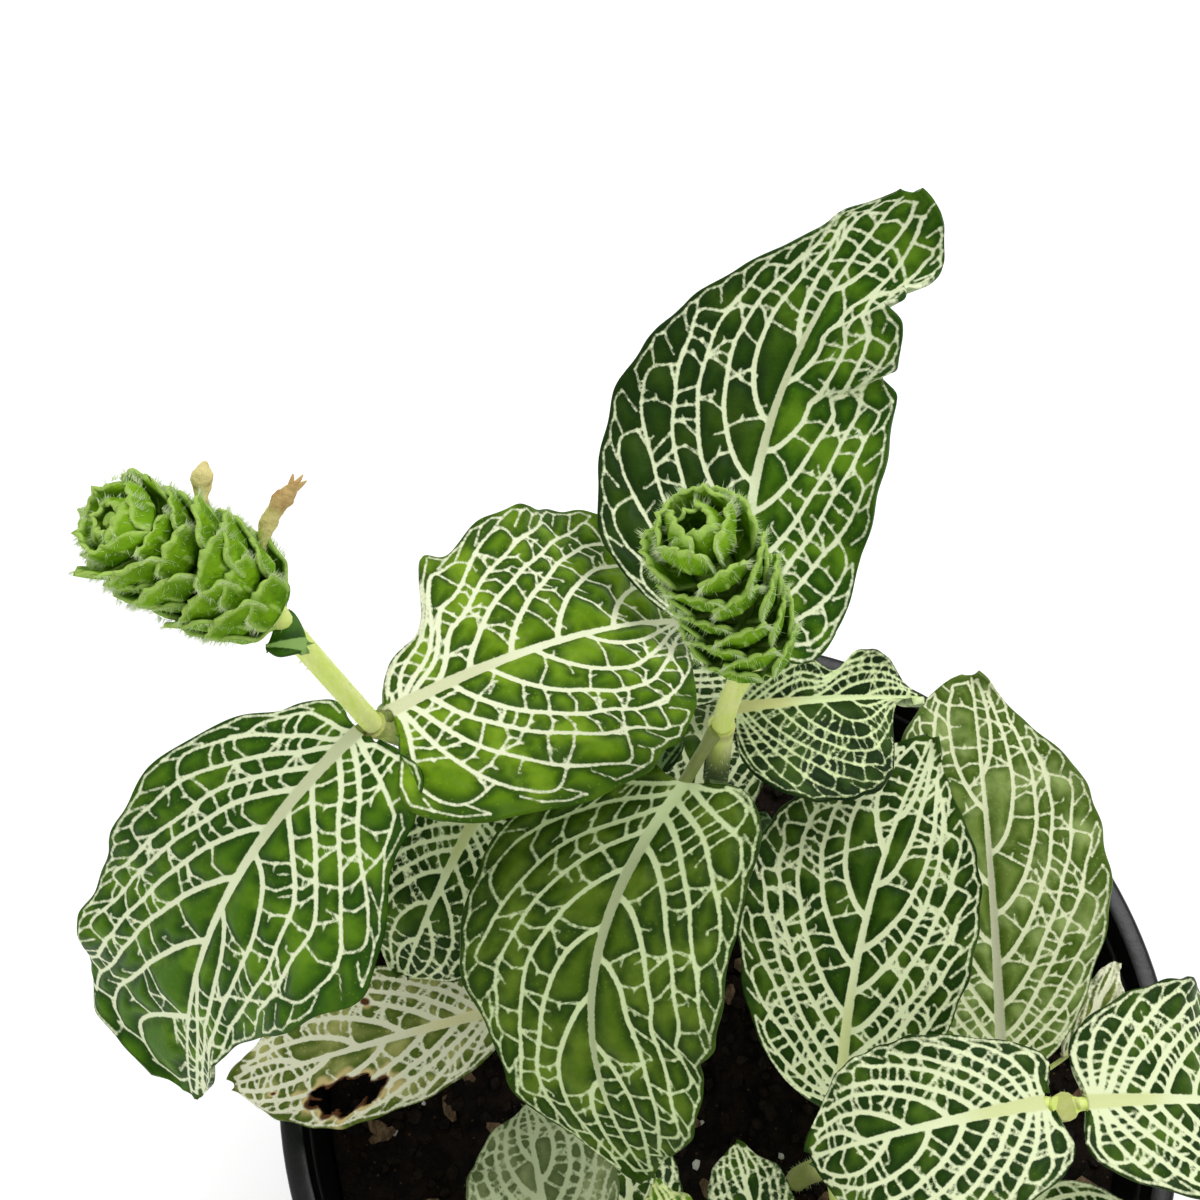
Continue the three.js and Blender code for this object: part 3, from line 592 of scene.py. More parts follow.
class Blade:
    """One leaf's blade: r runs along its midrib, and v from its left edge, -1, to its right, 1."""

    def __init__(self, values):
        self.values = {**COMMON_LEAF, **values}
        if not isinstance(self.values["lobe"], tuple):
            self.values["lobe"] = (self.values["lobe"],) * 2
        self.base = np.array(self.values["base"], float)
        span = np.array(self.values["tip"], float) - self.base
        self.length = np.linalg.norm(span)
        self.along = span / self.length
        self.side = unit(np.cross(self.along, (0, 0, 1)))
        self.normal = np.cross(self.side, self.along)

    def __getattr__(self, name):
        return self.values[name]

    def half_width(self, r, v):
        left = v < 0
        pick = lambda pair: np.where(left, pair[0], pair[1])
        widest = pick(self.widest)
        taper = pick(self.taper)
        shape = (r / widest) ** taper * ((1 - r) / (1 - widest)) ** (taper * (1 - widest) / widest)
        pointing = 1 - pick(self.point) * smoothstep(POINT_FROM, 1, r)
        rounding = np.sqrt(np.clip(1 - ((r - 0.86) / 0.14) ** 2, 0, 1))
        width = pick(self.half) * shape * pointing + pick(self.blunt) * rounding
        for side, at, spread, amount in self.bumps:
            own = np.where(left == (side < 0), amount, 0)
            width = width + own * np.exp(-((r - at) / spread) ** 2)
        scallops = 1 + 0.012 * np.sin(2 * math.pi * (self.ribs * r + 0.3 * left)) * (r > 0.1)
        return np.maximum(width * scallops, 0.18)

    def flat(self, r, v):
        """Where a point of the blade lies along and across the midrib, in millimetres."""
        across = np.abs(v)
        lobe = np.where(v < 0, *self.lobe) * -(r / LOBE_AT) * np.exp(1 - r / LOBE_AT)
        sweep = RIB_SWEEP * np.sin(math.pi * r) + lobe
        x = r + sweep * across ** LOBE_SWEEP
        return x * self.length, v * self.half_width(r, v)

    def lifted(self, r, v, puff):
        """The blade's upper face in space, with the relief that its veins give it."""
        across = np.abs(v)
        along, y = self.flat(r, v)
        x = along / self.length
        arch = 4 * x * (1 - x)
        right = v > 0
        wave = np.where(right, self.wave[1], self.wave[0]) * across ** 3 * np.minimum(1, 4 * r)
        wave = wave * np.sin(2 * math.pi * self.crests * r + 2 * right)
        if self.crease:
            edge, at, height = self.crease
            ridge = smoothstep(at - 0.03, at + 0.03, r) * (1 - smoothstep(at + 0.05, at + 0.34, r))
            wave = wave + height * ridge * smoothstep(0.12, 0.8, v * edge)
        rise = self.bow * arch + self.fold * np.abs(y) + wave + puff
        angle = math.radians(self.roll)
        sideways = self.sway * arch + y * math.cos(angle) - rise * math.sin(angle)
        upwards = y * math.sin(angle) + rise * math.cos(angle)
        return (self.base + along[:, None] * self.along + sideways[:, None] * self.side
                + upwards[:, None] * self.normal)

    def petiole(self):
        """The petiole's path, from just clear of the stem to just inside the blade."""
        stem = STEMS[self.stem]
        points = [np.array(p, float) for p in stem + SPIKES.get(self.stem, {"stalk": []})["stalk"]]
        radius = THICK_NODE if self.at < len(stem) else THIN_NODE
        node = points[self.at]
        above = points[self.at + 1] if self.at + 1 < len(points) else node
        upward = unit(above - points[self.at - 1])
        outward = self.base - node
        outward = unit(outward - upward * outward.dot(upward))
        start = node + outward * (radius * 0.6)
        under = self.lifted(np.array([0.01, 0.12]), np.zeros(2), 0)
        joint, end = under[0] - self.normal * 1.45, under[1] - self.normal * 1.25
        return smooth_path([start, 0.5 * (start + joint) - self.normal * 0.3, joint, end], 20)


# ------------------------------------------------------------------ the net of veins

class Net:
    """A leaf's veins as curves on the flat blade, each with a half width at every point."""

    def __init__(self, blade, draw):
        self.blade = blade
        self.draw = draw
        self.bold = blade.bold
        self.curves = []
        self.grow()

    def to_flat(self, points):
        points = np.asarray(points, float)
        flat = self.blade.flat(np.clip(points[:, 0], 0.002, 0.998), points[:, 1])
        return np.stack(flat, 1).round(SAME_DIGITS)

    def add(self, path, start, end, kind):
        widths = np.linspace(start, end, len(path)) * self.bold
        self.curves.append((path, widths, kind))

    def rib(self, side, share):
        """A side rib. They crowd at the base, and share counts them from there to the tip."""
        draw = self.draw
        start = 0.008 + 0.86 * share ** 2.5 + share * draw.uniform(-0.015, 0.015)
        forward = 1.6 * self.blade.sweep[side > 0] * share ** 1.1 * (1 - share ** 3.5)
        forward = min(forward + 0.02 + 0.08 * share, 0.88 * (1 - start)) * draw.uniform(0.95, 1.03)
        reach = 0.83 - 0.3 * smoothstep(0.7, 1, share)
        t = np.linspace(0, 1, 24)
        bend = draw.uniform(-0.012, 0.012) * np.sin(2 * math.pi * t)
        rib = np.stack([start + forward * (0.25 * t + 0.75 * t ** 1.9) + bend,
                        side * reach * t], 1)
        return rib.round(SAME_DIGITS)

    def grow(self):
        draw = self.draw
        midrib = self.to_flat([(r, 0) for r in np.linspace(0.002, 0.985, 30)])
        taper = 1 - np.linspace(0, 1, 30)
        self.curves.append((midrib, 0.15 + 0.55 * taper ** 1.2, "midrib"))
        for side in (-1, 1):
            count = self.blade.ribs
            ribs = [self.rib(side, (k + (side > 0) / 2) / count) for k in range(count)]
            arcs = []
            for i, rib in enumerate(ribs):
                after = ribs[i + 1][-3] if i + 1 < len(ribs) else np.array([0.975, side * 0.2])
                middle = 0.5 * (rib[-1] + after)
                middle[1] = min(0.92, 0.07 + max(abs(rib[-1][1]), abs(after[1]))) * side
                arcs.append(smooth_path([rib[-1], middle, after], 12))
            flat_ribs = [self.to_flat(rib) for rib in ribs]
            flat_arcs = [self.to_flat(arc) for arc in arcs]
            for rib, arc in zip(flat_ribs, flat_arcs):
                self.add(rib, 0.36, 0.19, "rib")
                self.add(arc, 0.18, 0.16, "arc")
            for i in range(1, len(ribs)):
                self.rungs(flat_ribs[i], np.vstack([flat_ribs[i - 1], flat_arcs[i - 1]]))
            if ribs:
                last = [(r, 0.02 * side) for r in np.linspace(ribs[-1][0][0], 0.97, 16)]
                self.rungs(self.to_flat(last), np.vstack([flat_ribs[-1], flat_arcs[-1]]))
            if arcs:
                self.margin(side, np.vstack(arcs))

    def rungs(self, upper, lower):
        """Cross veins from one rib to the rib before it, some bent, and some that stop short."""
        draw = self.draw
        steps = np.linalg.norm(np.diff(upper, axis=0), axis=1)
        walked = np.concatenate([[0], np.cumsum(steps)])
        at = draw.uniform(0.8, 1.3) * self.blade.net
        last = None
        while at < walked[-1] - 0.3:
            start = np.array([np.interp(at, walked, upper[:, k]) for k in (0, 1)])
            nearest = int(np.argmin(np.linalg.norm(lower - start, axis=1)))
            nearest = int(np.clip(nearest + draw.randint(-1, 1), 0, len(lower) - 1))
            end = lower[nearest]
            gap = np.linalg.norm(end - start)
            if gap > 0.9 * self.blade.net:
                middle = self.rung(start, end, gap, unit(upper[-1] - upper[0]))
                if gap > 4.6 * self.blade.net and last is not None and draw.random() < 0.8:
                    self.add(smooth_path([last, middle], 5), 0.16, 0.14, "rung")
                last = middle
            at += float(np.clip(gap * 0.66, 1.15, 2.9)) * self.blade.net * draw.uniform(0.8, 1.22)

    def rung(self, start, end, gap, outward):
        """One cross vein, and where its bend is."""
        draw = self.draw
        thin = 0.15 if gap > 1.6 else 0.13
        if gap < 1.7:
            self.add(smooth_path([start, end], 5), thin, thin, "rung")
            return 0.5 * (start + end)
        bend = outward * gap * draw.uniform(-0.06, 0.22)
        middle = start + (end - start) * draw.uniform(0.38, 0.62) + bend
        if gap < 4 and draw.random() < 0.13:
            hook = middle + outward * gap * draw.uniform(-0.2, 0.2)
            first = start if draw.random() < 0.5 else end
            self.add(smooth_path([first, middle, hook], 9), thin, 0.08, "rung")
            return middle
        self.add(smooth_path([start, middle], 6), thin * 1.1, thin, "rung")
        self.add(smooth_path([middle, end], 6), thin, thin * 1.1, "rung")
        if gap > 2.2 and draw.random() < 0.6:
            tip = middle + outward * gap * draw.uniform(0.14, 0.3)
            tip = tip + (end - start) * draw.uniform(-0.08, 0.08)
            self.add(smooth_path([middle, tip], 5), 0.15, 0.07, "spur")
        if gap > 3 and draw.random() < 0.4:
            foot, other = (start, end) if draw.random() < 0.5 else (end, start)
            root = foot + outward * 1.2
            self.add(smooth_path([root, root + unit(other - foot) * draw.uniform(0.7, 1.1)], 4),
                     0.15, 0.07, "spur")
        return middle

    def margin(self, side, loops):
        """The row of small cells outside the loops of the ribs."""
        draw = self.draw
        loops = loops[np.argsort(loops[:, 0])]
        pitch = 1.95 * math.sqrt(self.blade.net) / self.blade.length
        rows = []
        r = 0.02
        while r < 0.95:
            near = loops[np.abs(loops[:, 0] - r) < 0.025, 1]
            inner = np.abs(near).max() if len(near) else np.interp(r, *np.abs(loops).T)
            foot, end = (r, inner), (r + draw.uniform(0.2, 0.5) * pitch, draw.uniform(0.95, 0.972))
            self.add(self.to_flat([(foot[0], foot[1] * side), (end[0], end[1] * side)]),
                     0.14, 0.11, "spur")
            rows.append((foot, end))
            r += pitch * draw.uniform(0.8, 1.25)
        for (foot, end), (next_foot, next_end) in zip(rows, rows[1:]):
            lines = [(end, (0.5 * (end[0] + next_end[0]), 0.978), next_end)]
            if foot[1] < 0.76:
                lines.append([(0.5 * (a[0] + b[0]), 0.5 * (a[1] + b[1]))
                              for a, b in ((foot, end), (next_foot, next_end))])
            for line in lines:
                if draw.random() < 0.88:
                    self.add(self.to_flat([(r, v * side) for r, v in line]), 0.12, 0.12, "spur")

    def distance(self, x, y, kinds=None, reach=2.8, melt=0.05):
        """How far each point is from a vein's edge, in millimetres, and negative inside one.

        Each vein's middle is rounded off, so that a thin one isn't lost between two vertices.
        """
        total = np.full(len(x), math.exp(-reach / melt))
        for path, widths, kind in self.curves:
            if kinds and kind not in kinds:
                continue
            low, high = path.min(0) - reach, path.max(0) + reach
            near = np.flatnonzero((x > low[0]) & (x < high[0]) & (y > low[1]) & (y < high[1]))
            if not len(near):
                continue
            best = np.full(len(near), reach)
            for a, b, start, end in zip(path, path[1:], widths, widths[1:]):
                step = b - a
                size = max(step @ step, 1e-9)
                px, py = x[near] - a[0], y[near] - a[1]
                t = np.clip((px * step[0] + py * step[1]) / size, 0, 1)
                away = np.hypot(px - t * step[0], py - t * step[1])
                edge = np.hypot(start + t * (end - start), VEIN_ROUNDING)
                best = np.minimum(best, np.hypot(away, VEIN_ROUNDING) - edge)
            total[near] += np.exp(-best / melt)
        return -melt * np.log(total)


# ------------------------------------------------------------------ leaves


def split_along_veins(build, away):
    """Splits the faces by a vein along it, so that a thin vein's colour stays unbroken."""
    build.faces.ensure_lookup_table()
    for face in list(build.faces):
        a, b, c, d = face.verts
        depth = [away[corner.index] for corner in (a, b, c, d)]
        if min(depth) < 0.3:
            first = depth[0] + depth[2] < depth[1] + depth[3]
            bmesh.utils.face_split(face, *((a, c) if first else (b, d)))


def blade_grid(name, blade):
    """A flat grid of a blade's size, with each vertex's r and v. Rows crowd at the ends."""
    rows = int(blade.length / blade.spacing)
    columns = int(sum(blade.half) / blade.spacing / 2) * 2
    build = bmesh.new()
    bmesh.ops.create_grid(build, x_segments=rows, y_segments=columns, size=0.5)
    mesh = to_mesh(name, build)
    grid = places(mesh)
    share = np.clip(grid[:, 0] + 0.5, 0, 1)
    r = 0.004 + 0.989 * (share - 0.35 * np.sin(2 * math.pi * share) / (2 * math.pi))
    return mesh, r, np.clip(-2 * grid[:, 1], -1, 1)


def held_back(points):
    """Eases the points back from the box's sides, so that the finished blade stays inside."""
    for axis, sign, inset in HELD_SIDES:
        edge = cad_box[sign > 0][axis] / MM
        spare = sign * (edge - points[:, axis]) - inset
        eased = HOLD_FROM * np.exp(np.minimum(spare / HOLD_FROM - 1, 0))
        held = np.where(spare < HOLD_FROM, eased, spare)
        points[:, axis] = edge - sign * (held + inset)
    return points


def harm_at(blade, r, v):
    """How dead each point is, and its distance from the hole's middle, 1 at the hole's edge."""
    at, across, long, wide = blade.hole
    rough = 0.16 * np.sin(77 * r + 3 * v) + 0.1 * np.sin(31 * v + 23 * r)
    ring = np.hypot((r - at) / long, (v - across) / wide) + rough
    harm = 0.98 - 0.9 * (ring - 1)
    for spot_r, spot_v, size in BROWN_SPOTS:
        spot = 1.05 - 0.5 * np.hypot((r - spot_r) / size, (v - spot_v) / (size * 3.4))
        harm = np.maximum(harm, spot)
    return np.clip(harm, 0, 1.2), ring


def thicken(piece, large):
    """Gives a blade its underside, and makes it thin along the midrib."""
    mesh = piece.data
    ridge = piece.vertex_groups.new(name="ridge")
    depth = np.empty(len(mesh.vertices), np.float32)
    mesh.attributes["midrib"].data.foreach_get("value", depth)
    for i in np.flatnonzero(depth > 0.01):
        ridge.add([int(i)], float(depth[i]), "REPLACE")
    shell = add_shell(piece, THICKNESS["large" if large else "small"])
    shell.material_offset = 1
    shell.vertex_group = "ridge"
    shell.thickness_vertex_group = MIDRIB_THICKNESS
    baked(piece)


def leaf_piece(name, values, tops, undersides):
    """Makes a leaf's blade, and returns the mesh of its petiole."""
    blade = Blade(values)
    mesh, r, v = blade_grid(name, blade)
    x, y = blade.flat(r, v)
    net = Net(blade, random.Random(name))
    away = net.distance(x, y)
    from_ribs = net.distance(x, y, ("midrib", "rib", "arc"), 3.4, 0.2)
    from_midrib = net.distance(x, y, ("midrib",), 3.4)
    relief = min(1, blade.length / FULL_RELIEF_LENGTH)
    puff = relief * (VEIN_RISE * smoothstep(-0.25, 1.3, away)
                     + RIB_RISE * smoothstep(-0.3, 2.8, from_ribs) - LET_DOWN)
    puff = puff * (1 - 0.6 * smoothstep(0.85, 1, np.abs(v)))
    puff -= MIDRIB_DEPTH * relief * np.exp(-(y / MIDRIB_SPREAD) ** 2) * (1 - r)
    move_to(mesh, held_back(blade.lifted(r, v, puff)) * MM)
    harm, ring = harm_at(blade, r, v) if blade.hole else (np.zeros(len(r)), None)
    dull_from, dull_to = blade.dull
    for label, numbers in (
            ("net", away), ("across", np.abs(v)), ("harm", harm),
            ("midrib", 1 - smoothstep(-0.1, 0.15, from_midrib)),
            ("dull", smoothstep(-0.08, 0.08, r - dull_from)
             * (1 - smoothstep(-0.1, 0.1, r - dull_to))),
            # The shade number paints shade onto the left side near the base.
            ("shade", blade.shade * smoothstep(0.1, -0.2, v) * (1 - smoothstep(0.5, 0.85, r)))):
        keep(mesh, label, numbers)
    build = bmesh.new()
    build.from_mesh(mesh)
    build.verts.ensure_lookup_table()
    split_along_veins(build, away)
    if blade.hole:
        gone = [build.verts[i] for i in np.flatnonzero(ring < 1)]
        bmesh.ops.delete(build, geom=gone, context="VERTS")
    build.to_mesh(mesh)
    build.free()
    piece = make_piece(name + "_blade", mesh, [tops[blade.finish], undersides[blade.finish]],
                       [name])
    thicken(piece, relief > 0.5)
    path = blade.petiole()
    slim = min(1, blade.half[0] / 3.5)
    share = np.linspace(0, 1, len(path))
    radii = 0.68 + 0.16 * (1 - smoothstep(0, 0.2, share)) - 0.3 * smoothstep(0.5, 1, share)
    petiole = tube_mesh(name + "_petiole", path, slim * radii)
    keep(petiole, "node", np.zeros(len(petiole.vertices)))
    # Painted shade on the petioles of the stems that carry spikes.
    keep(petiole, "low", np.full(len(petiole.vertices), 0.75 * (blade.stem in SPIKES)))
    return petiole


def grow_leaves(finishes):
    tops = {name: leaf_finish(name) for name in LEAF_GREENS}
    undersides = {name: underside_finish(name) for name in LEAF_GREENS}
    bracts = {name: {**SMALL_BRACT, **values} for name, values in STALK_BRACTS.items()}
    petioles = [leaf_piece(name, values, tops, undersides)
                for name, values in {**LEAVES, **bracts}.items()]
    make_piece("petioles", joined_mesh("petioles", petioles), [finishes["stem"]])


# ------------------------------------------------------------------ stems, spikes and hairs

def hair_shape(radius):
    build = bmesh.new()
    bmesh.ops.create_cone(build, cap_ends=False, segments=3, radius1=radius * MM,
                          radius2=radius * MM * 0.15, depth=HAIR_LENGTH * MM,
                          matrix=Matrix.Translation((0, 0, HAIR_LENGTH * MM / 2)))
    return to_mesh("hair", build)


def sideways_from(forward, hint, spin):
    """A direction square to forward. Spin turns it from one that is square to hint as well."""
    flat = unit(np.cross(forward, hint))
    return math.cos(spin) * flat + math.sin(spin) * np.cross(forward, flat)


def nearest_on(path, mesh):
    """The mesh's vertices in millimetres, and the index of the path's point nearest to each."""
    own = places(mesh) / MM
    return own, np.argmin(((own[:, None] - path[None]) ** 2).sum(2), 1)


def hair_frame(place, direction, length):
    turn = Vector(direction).to_track_quat("Z", "Y").to_matrix().to_4x4()
    return Matrix.Translation(Vector(place) * MM) @ turn @ Matrix.Diagonal((1, 1, length, 1))


def spike_frame(spike):
    base = np.array(spike["stalk"][1], float)
    span = np.array(spike["tip"], float) - base
    axis = unit(span)
    return base, axis, np.linalg.norm(span), unit(np.array([0, 1, 0]) - axis * axis[1])


class Bract:
    """One bract of a spike. u runs from its root to its tip, and v across it."""

    def __init__(self, root, axis, outward, scale, shut, long):
        self.root, self.axis, self.outward = root, axis, outward
        self.sideways = np.cross(axis, outward)
        self.scale, self.shut, self.long = scale, shut, long

    def surface(self, u, v):
        rounding = 1 - 0.3 * np.clip((u - 0.86) / 0.14, 0, 1) ** 2
        width = (0.7 + 0.3 * smoothstep(0, 0.5, u)) * rounding
        opened = 2.2 + 1.7 * smoothstep(0, 0.35, u) + 1.2 * u ** 2
        closed = 1.3 + 1.2 * np.sin(2.2 * u) - 1.9 * u ** 3
        reach = self.scale * (opened + self.shut * (closed - opened))
        wrap = self.scale * (0.55 + 0.6 * self.shut) * v ** 2 * (1 - 0.5 * u)
        keel = 0.16 * np.exp(-(v / 0.12) ** 2) * np.minimum(1, 2 * u)
        point = 0.5 * np.exp(-(v / 0.2) ** 2) - 0.35 * np.abs(v) ** 3
        rise = self.scale * (self.long * u + point * u ** 6)
        side = -v * self.scale * BRACT_HALF_WIDTH * width
        return (self.root + (reach - wrap + keel)[:, None] * self.outward
                + rise[:, None] * self.axis + side[:, None] * self.sideways)

    def sheet(self, phase):
        build = bmesh.new()
        bmesh.ops.create_grid(build, x_segments=12, y_segments=14, size=0.5)
        mesh = to_mesh("bract", build)
        grid = places(mesh)
        u, v = grid[:, 0] + 0.5, 2 * grid[:, 1]
        ruffle = 0.13 * np.sin(9 * v + 5 * u + phase) * u
        move_to(mesh, (self.surface(u, v) + ruffle[:, None] * self.outward) * MM)
        keep(mesh, "across", np.maximum(np.abs(v), smoothstep(0.55, 1, u) * 0.97))
        keep(mesh, "along", u)
        return mesh

    def hairs(self, draw, count, top):
        frames = []
        for _ in range(count):
            rim = draw.random() < 0.8
            v = draw.choice((-1, 1)) * draw.uniform(0.9, 1) if rim else draw.uniform(-0.9, 0.9)
            u = draw.uniform(0.3, 1) ** 0.7
            spot = self.surface(np.array([u]), np.array([v]))[0]
            lean = (self.outward * draw.uniform(0.3, 1) - self.sideways * v * (0.9 if rim else 0.3)
                    + self.axis * draw.uniform(-0.2, 0.8))
            size = draw.uniform(0.4, 1.15)
            if spot[2] + HAIR_LENGTH * size * unit(lean)[2] < top:
                frames.append(hair_frame(spot, lean, size))
        return frames


def spike_piece(name, spike, finishes):
    draw = random.Random(name)
    base, axis, length, level = spike_frame(spike)
    top = cad_box[1][2] / MM - 0.15
    parts, hairs = [], []
    tiers = spike["tiers"]
    for tier in range(tiers + 1):
        scale = 1 - 0.16 * (tier / tiers) ** 3
        shut = max(0, tier - tiers + 2) / 2.6
        root = base + axis * (0.1 + (length - 4.6) * min(1, tier / (tiers - 1)))
        for quarter in range(4):
            angle = spike["turn"] + 45 * tier + 90 * quarter + draw.uniform(-9, 9)
            turned_by = Matrix.Rotation(math.radians(angle), 3, Vector(axis))
            outward = np.array(turned_by @ Vector(level))
            lifted = root + axis * draw.uniform(-0.35, 0.35)
            size = scale * draw.uniform(0.9, 1.05)
            bract = Bract(lifted, axis, outward, size, shut, spike["long"])
            parts.append(bract.sheet(tier + 2 * quarter))
            hairs += bract.hairs(draw, HAIRS_PER_BRACT, top)
    mesh = joined_mesh(name, parts)
    points = places(mesh)
    points[:, 2] -= 0.8 * np.maximum(0, points[:, 2] - (top - 1.3) * MM)
    move_to(mesh, points)
    piece = make_piece(name + "_bracts", mesh, [finishes["bract"]], [name])
    add_shell(piece, BRACT_THICKNESS)
    baked(piece)
    core = tube_mesh(name + "_core", [base + axis * t * length for t in np.linspace(0, 0.93, 9)],
                     [1.2, 1.8, 1.9, 1.9, 1.9, 1.9, 1.7, 1.3, 0.6])
    make_piece(name + "_core", core, [finishes["bract"]])
    fuzz = stamped(name + "_hairs", hair_shape(SPIKE_HAIR_RADIUS), hairs)
    make_piece(name + "_hairs", fuzz, [finishes["hair"]])


def stem_piece(name, finishes):
    draw = random.Random(name)
    points = [np.array(p, float) for p in STEMS[name]]
    path = smooth_path(points, 60)
    top = points[-1][2]
    swell = np.max([np.exp(-(np.linalg.norm(path - node, axis=1) / 1.6) ** 2)
                    for node in points[2:]], 0)
    radii = STEM_RADIUS * (0.94 + 0.14 * swell) * np.linspace(1.05, 0.92, len(path))
    parts = [(path, radii, swell)]
    if name in SPIKES:
        base, axis, _, _ = spike_frame(SPIKES[name])
        stalk = smooth_path([points[-1], *SPIKES[name]["stalk"], base + axis * 2.4], 50)
        parts.append((stalk, np.full(len(stalk), STALK_RADIUS), np.zeros(len(stalk))))
    meshes, hairs = [], []
    for line, sizes, joints in parts:
        mesh = tube_mesh(name, line, sizes, 20)
        own, nearest = nearest_on(line, mesh)
        keep(mesh, "node", joints[nearest])
        # Painted shade: the stems that carry spikes grow darker below their top node.
        keep(mesh, "low", (name in SPIKES) * (1 - smoothstep(top - 8, top + 1, own[:, 2])))
        meshes.append(mesh)
        length = np.linalg.norm(np.diff(line, axis=0), axis=1).sum()
        for _ in range(int(HAIRS_PER_MM * length)):
            i = draw.randrange(2, len(line) - 1)
            spin = draw.uniform(0, 2 * math.pi)
            forward = unit(line[i] - line[i - 1])
            outward = sideways_from(forward, (0.3, 1, 0.2), spin)
            place = line[i] + (line[i] - line[i - 1]) * draw.random() + outward * sizes[i] * 0.97
            hairs.append(hair_frame(place, outward + forward * draw.uniform(-0.3, 0.6),
                                    draw.uniform(0.3, 0.75)))
    make_piece("stem_" + name + "_skin", joined_mesh(name, meshes), [finishes["stem"]],
               ["stem_" + name])
    fuzz = stamped(name + "_stem_hairs", hair_shape(STEM_HAIR_RADIUS), hairs)
    make_piece("stem_" + name + "_hairs", fuzz, [finishes["hair"]])


def withered_flower(name, points, brown, lobe_count, finish):
    draw = random.Random(name)
    path = smooth_path(points, 26)
    t = np.linspace(0, 1, 26)
    radii = (0.36 + 0.4 * smoothstep(0.15, 0.65, t) - 0.15 * smoothstep(0.8, 1, t)
             + 0.04 * np.sin(19 * t))
    radii[-3:] *= (0.85, 0.6, 0.25)
    mesh = tube_mesh(name, path, radii)
    own, nearest = nearest_on(path, mesh)
    creased = []
    for point, index in zip(own, nearest):
        place, middle = Vector(point), Vector(path[index])
        creased.append(middle + (place - middle) * (1 + 0.35 * noise.noise(place * 1.4)))
    move_to(mesh, np.array(creased) * MM)
    keep(mesh, "along", t[nearest] * brown)
    parts = [mesh]
    forward = unit(path[-1] - path[-4])
    for k in range(lobe_count):
        outward = sideways_from(forward, (0.2, 0.4, 1), 1.57 * k + draw.uniform(-0.4, 0.4))
        tip = path[-3] + forward * draw.uniform(0.8, 1.5) + outward * draw.uniform(0.4, 0.8)
        lobe = tube_mesh("lobe", smooth_path([path[-4], tip], 6),
                         [0.3, 0.32, 0.3, 0.24, 0.16, 0.05], 8)
        keep(lobe, "along", np.ones(len(lobe.vertices)))
        parts.append(lobe)
    make_piece(name + "_dried", joined_mesh(name, parts), [finish], [name])


# ------------------------------------------------------------------ pot and soil

def turned(name, profile, steps):
    """A solid of revolution from a profile of (radius, height) points."""
    build = bmesh.new()
    verts = [build.verts.new((radius * MM, 0, z * MM)) for radius, z in profile]
    edges = [build.edges.new(pair) for pair in zip(verts, verts[1:])]
    bmesh.ops.spin(build, geom=verts + edges, cent=(0, 0, 0), axis=(0, 0, 1),
                   angle=2 * math.pi, steps=steps, use_merge=True)
    bmesh.ops.remove_doubles(build, verts=build.verts, dist=1e-7)
    bmesh.ops.recalc_face_normals(build, faces=build.faces)
    return to_mesh(name, build)


def wall_radius(z):
    top = POT["rim_radius"] - POT["band_step"]
    return POT["base_radius"] + (top - POT["base_radius"]) * z / POT["height"]


def pot_piece(finish):
    rim, top, wall = POT["rim_radius"], POT["height"], POT["wall"]
    foot = top - POT["band_height"]
    inner = wall_radius(top) - wall
    lip = [(rim - 0.7 + 0.7 * math.sin(a), top - 0.7 + 0.7 * math.cos(a))
           for a in np.linspace(math.pi / 2, 0, 6)]
    # From the underside's middle out and up the outside, over the lip, and down the inside.
    profile = [
        (0, 0), (34, 0), (34.5, 0.35), (36.5, 0.35), (37, 0), (38.6, 0), (39, 0.4),
        *[(wall_radius(z), z) for z in np.linspace(3, foot - 0.4, 12)],
        (wall_radius(foot), foot), (rim - 0.55, foot + 0.45), (rim - 0.4, foot + 0.9),
        (rim - 0.32, foot + 2.6), (rim - 0.55, foot + 2.9), (rim - 0.3, foot + 3.2),
        (rim - 0.12, top - 2.2), *lip,
        (inner + 0.5, top), (inner + 0.15, top - 0.15), (inner, top - 0.6),
        (inner - 0.1, top - 4), (inner - 0.45, top - 4.3), (inner - 0.55, top - 4.9),
        *[(wall_radius(z) - wall, z) for z in np.linspace(top - 8, 4, 10)],
        (wall_radius(1.6) - wall - 1.4, 1.75), (wall_radius(1.6) - wall - 3, POT["floor"]),
        (0, POT["floor"]),
    ]
    piece = make_piece("pot_shell", turned("pot_shell", profile, 160), [finish],
                       ["pot"])
    build = bmesh.new()
    for k in range(POT["drain_holes"]):
        angle = 2 * math.pi * k / POT["drain_holes"]
        middle = Vector((math.cos(angle), math.sin(angle), 0)) * POT["drain_ring"] * MM
        bmesh.ops.create_cone(build, cap_ends=True, segments=32, radius1=POT["drain_radius"] * MM,
                              radius2=POT["drain_radius"] * MM, depth=8 * MM,
                              matrix=Matrix.Translation(middle))
    drill = bpy.data.objects.new("drill", to_mesh("drill", build))
    bpy.context.scene.collection.objects.link(drill)
    holes = piece.modifiers.new("holes", "BOOLEAN")
    holes.object = drill
    holes.operation = "DIFFERENCE"
    holes.solver = "EXACT"
    baked(piece)
    bpy.data.objects.remove(drill)
    smooth_by_angle(piece.data, 40)


def smooth_by_angle(mesh, degrees):
    build = bmesh.new()
    build.from_mesh(mesh)
    limit = math.radians(degrees)
    for edge in build.edges:
        edge.smooth = len(edge.link_faces) == 2 and edge.calc_face_angle(0) < limit
    build.to_mesh(mesh)
    build.free()


def soil_height(x, y):
    z = SOIL_LEVEL
    for height, length, headings in SOIL_SWELLS:
        waves = [math.sin(2 * math.pi * (x * math.cos(h) + y * math.sin(h)) / length + h)
                 for h in headings]
        z += height * waves[0] * waves[1]
    return z


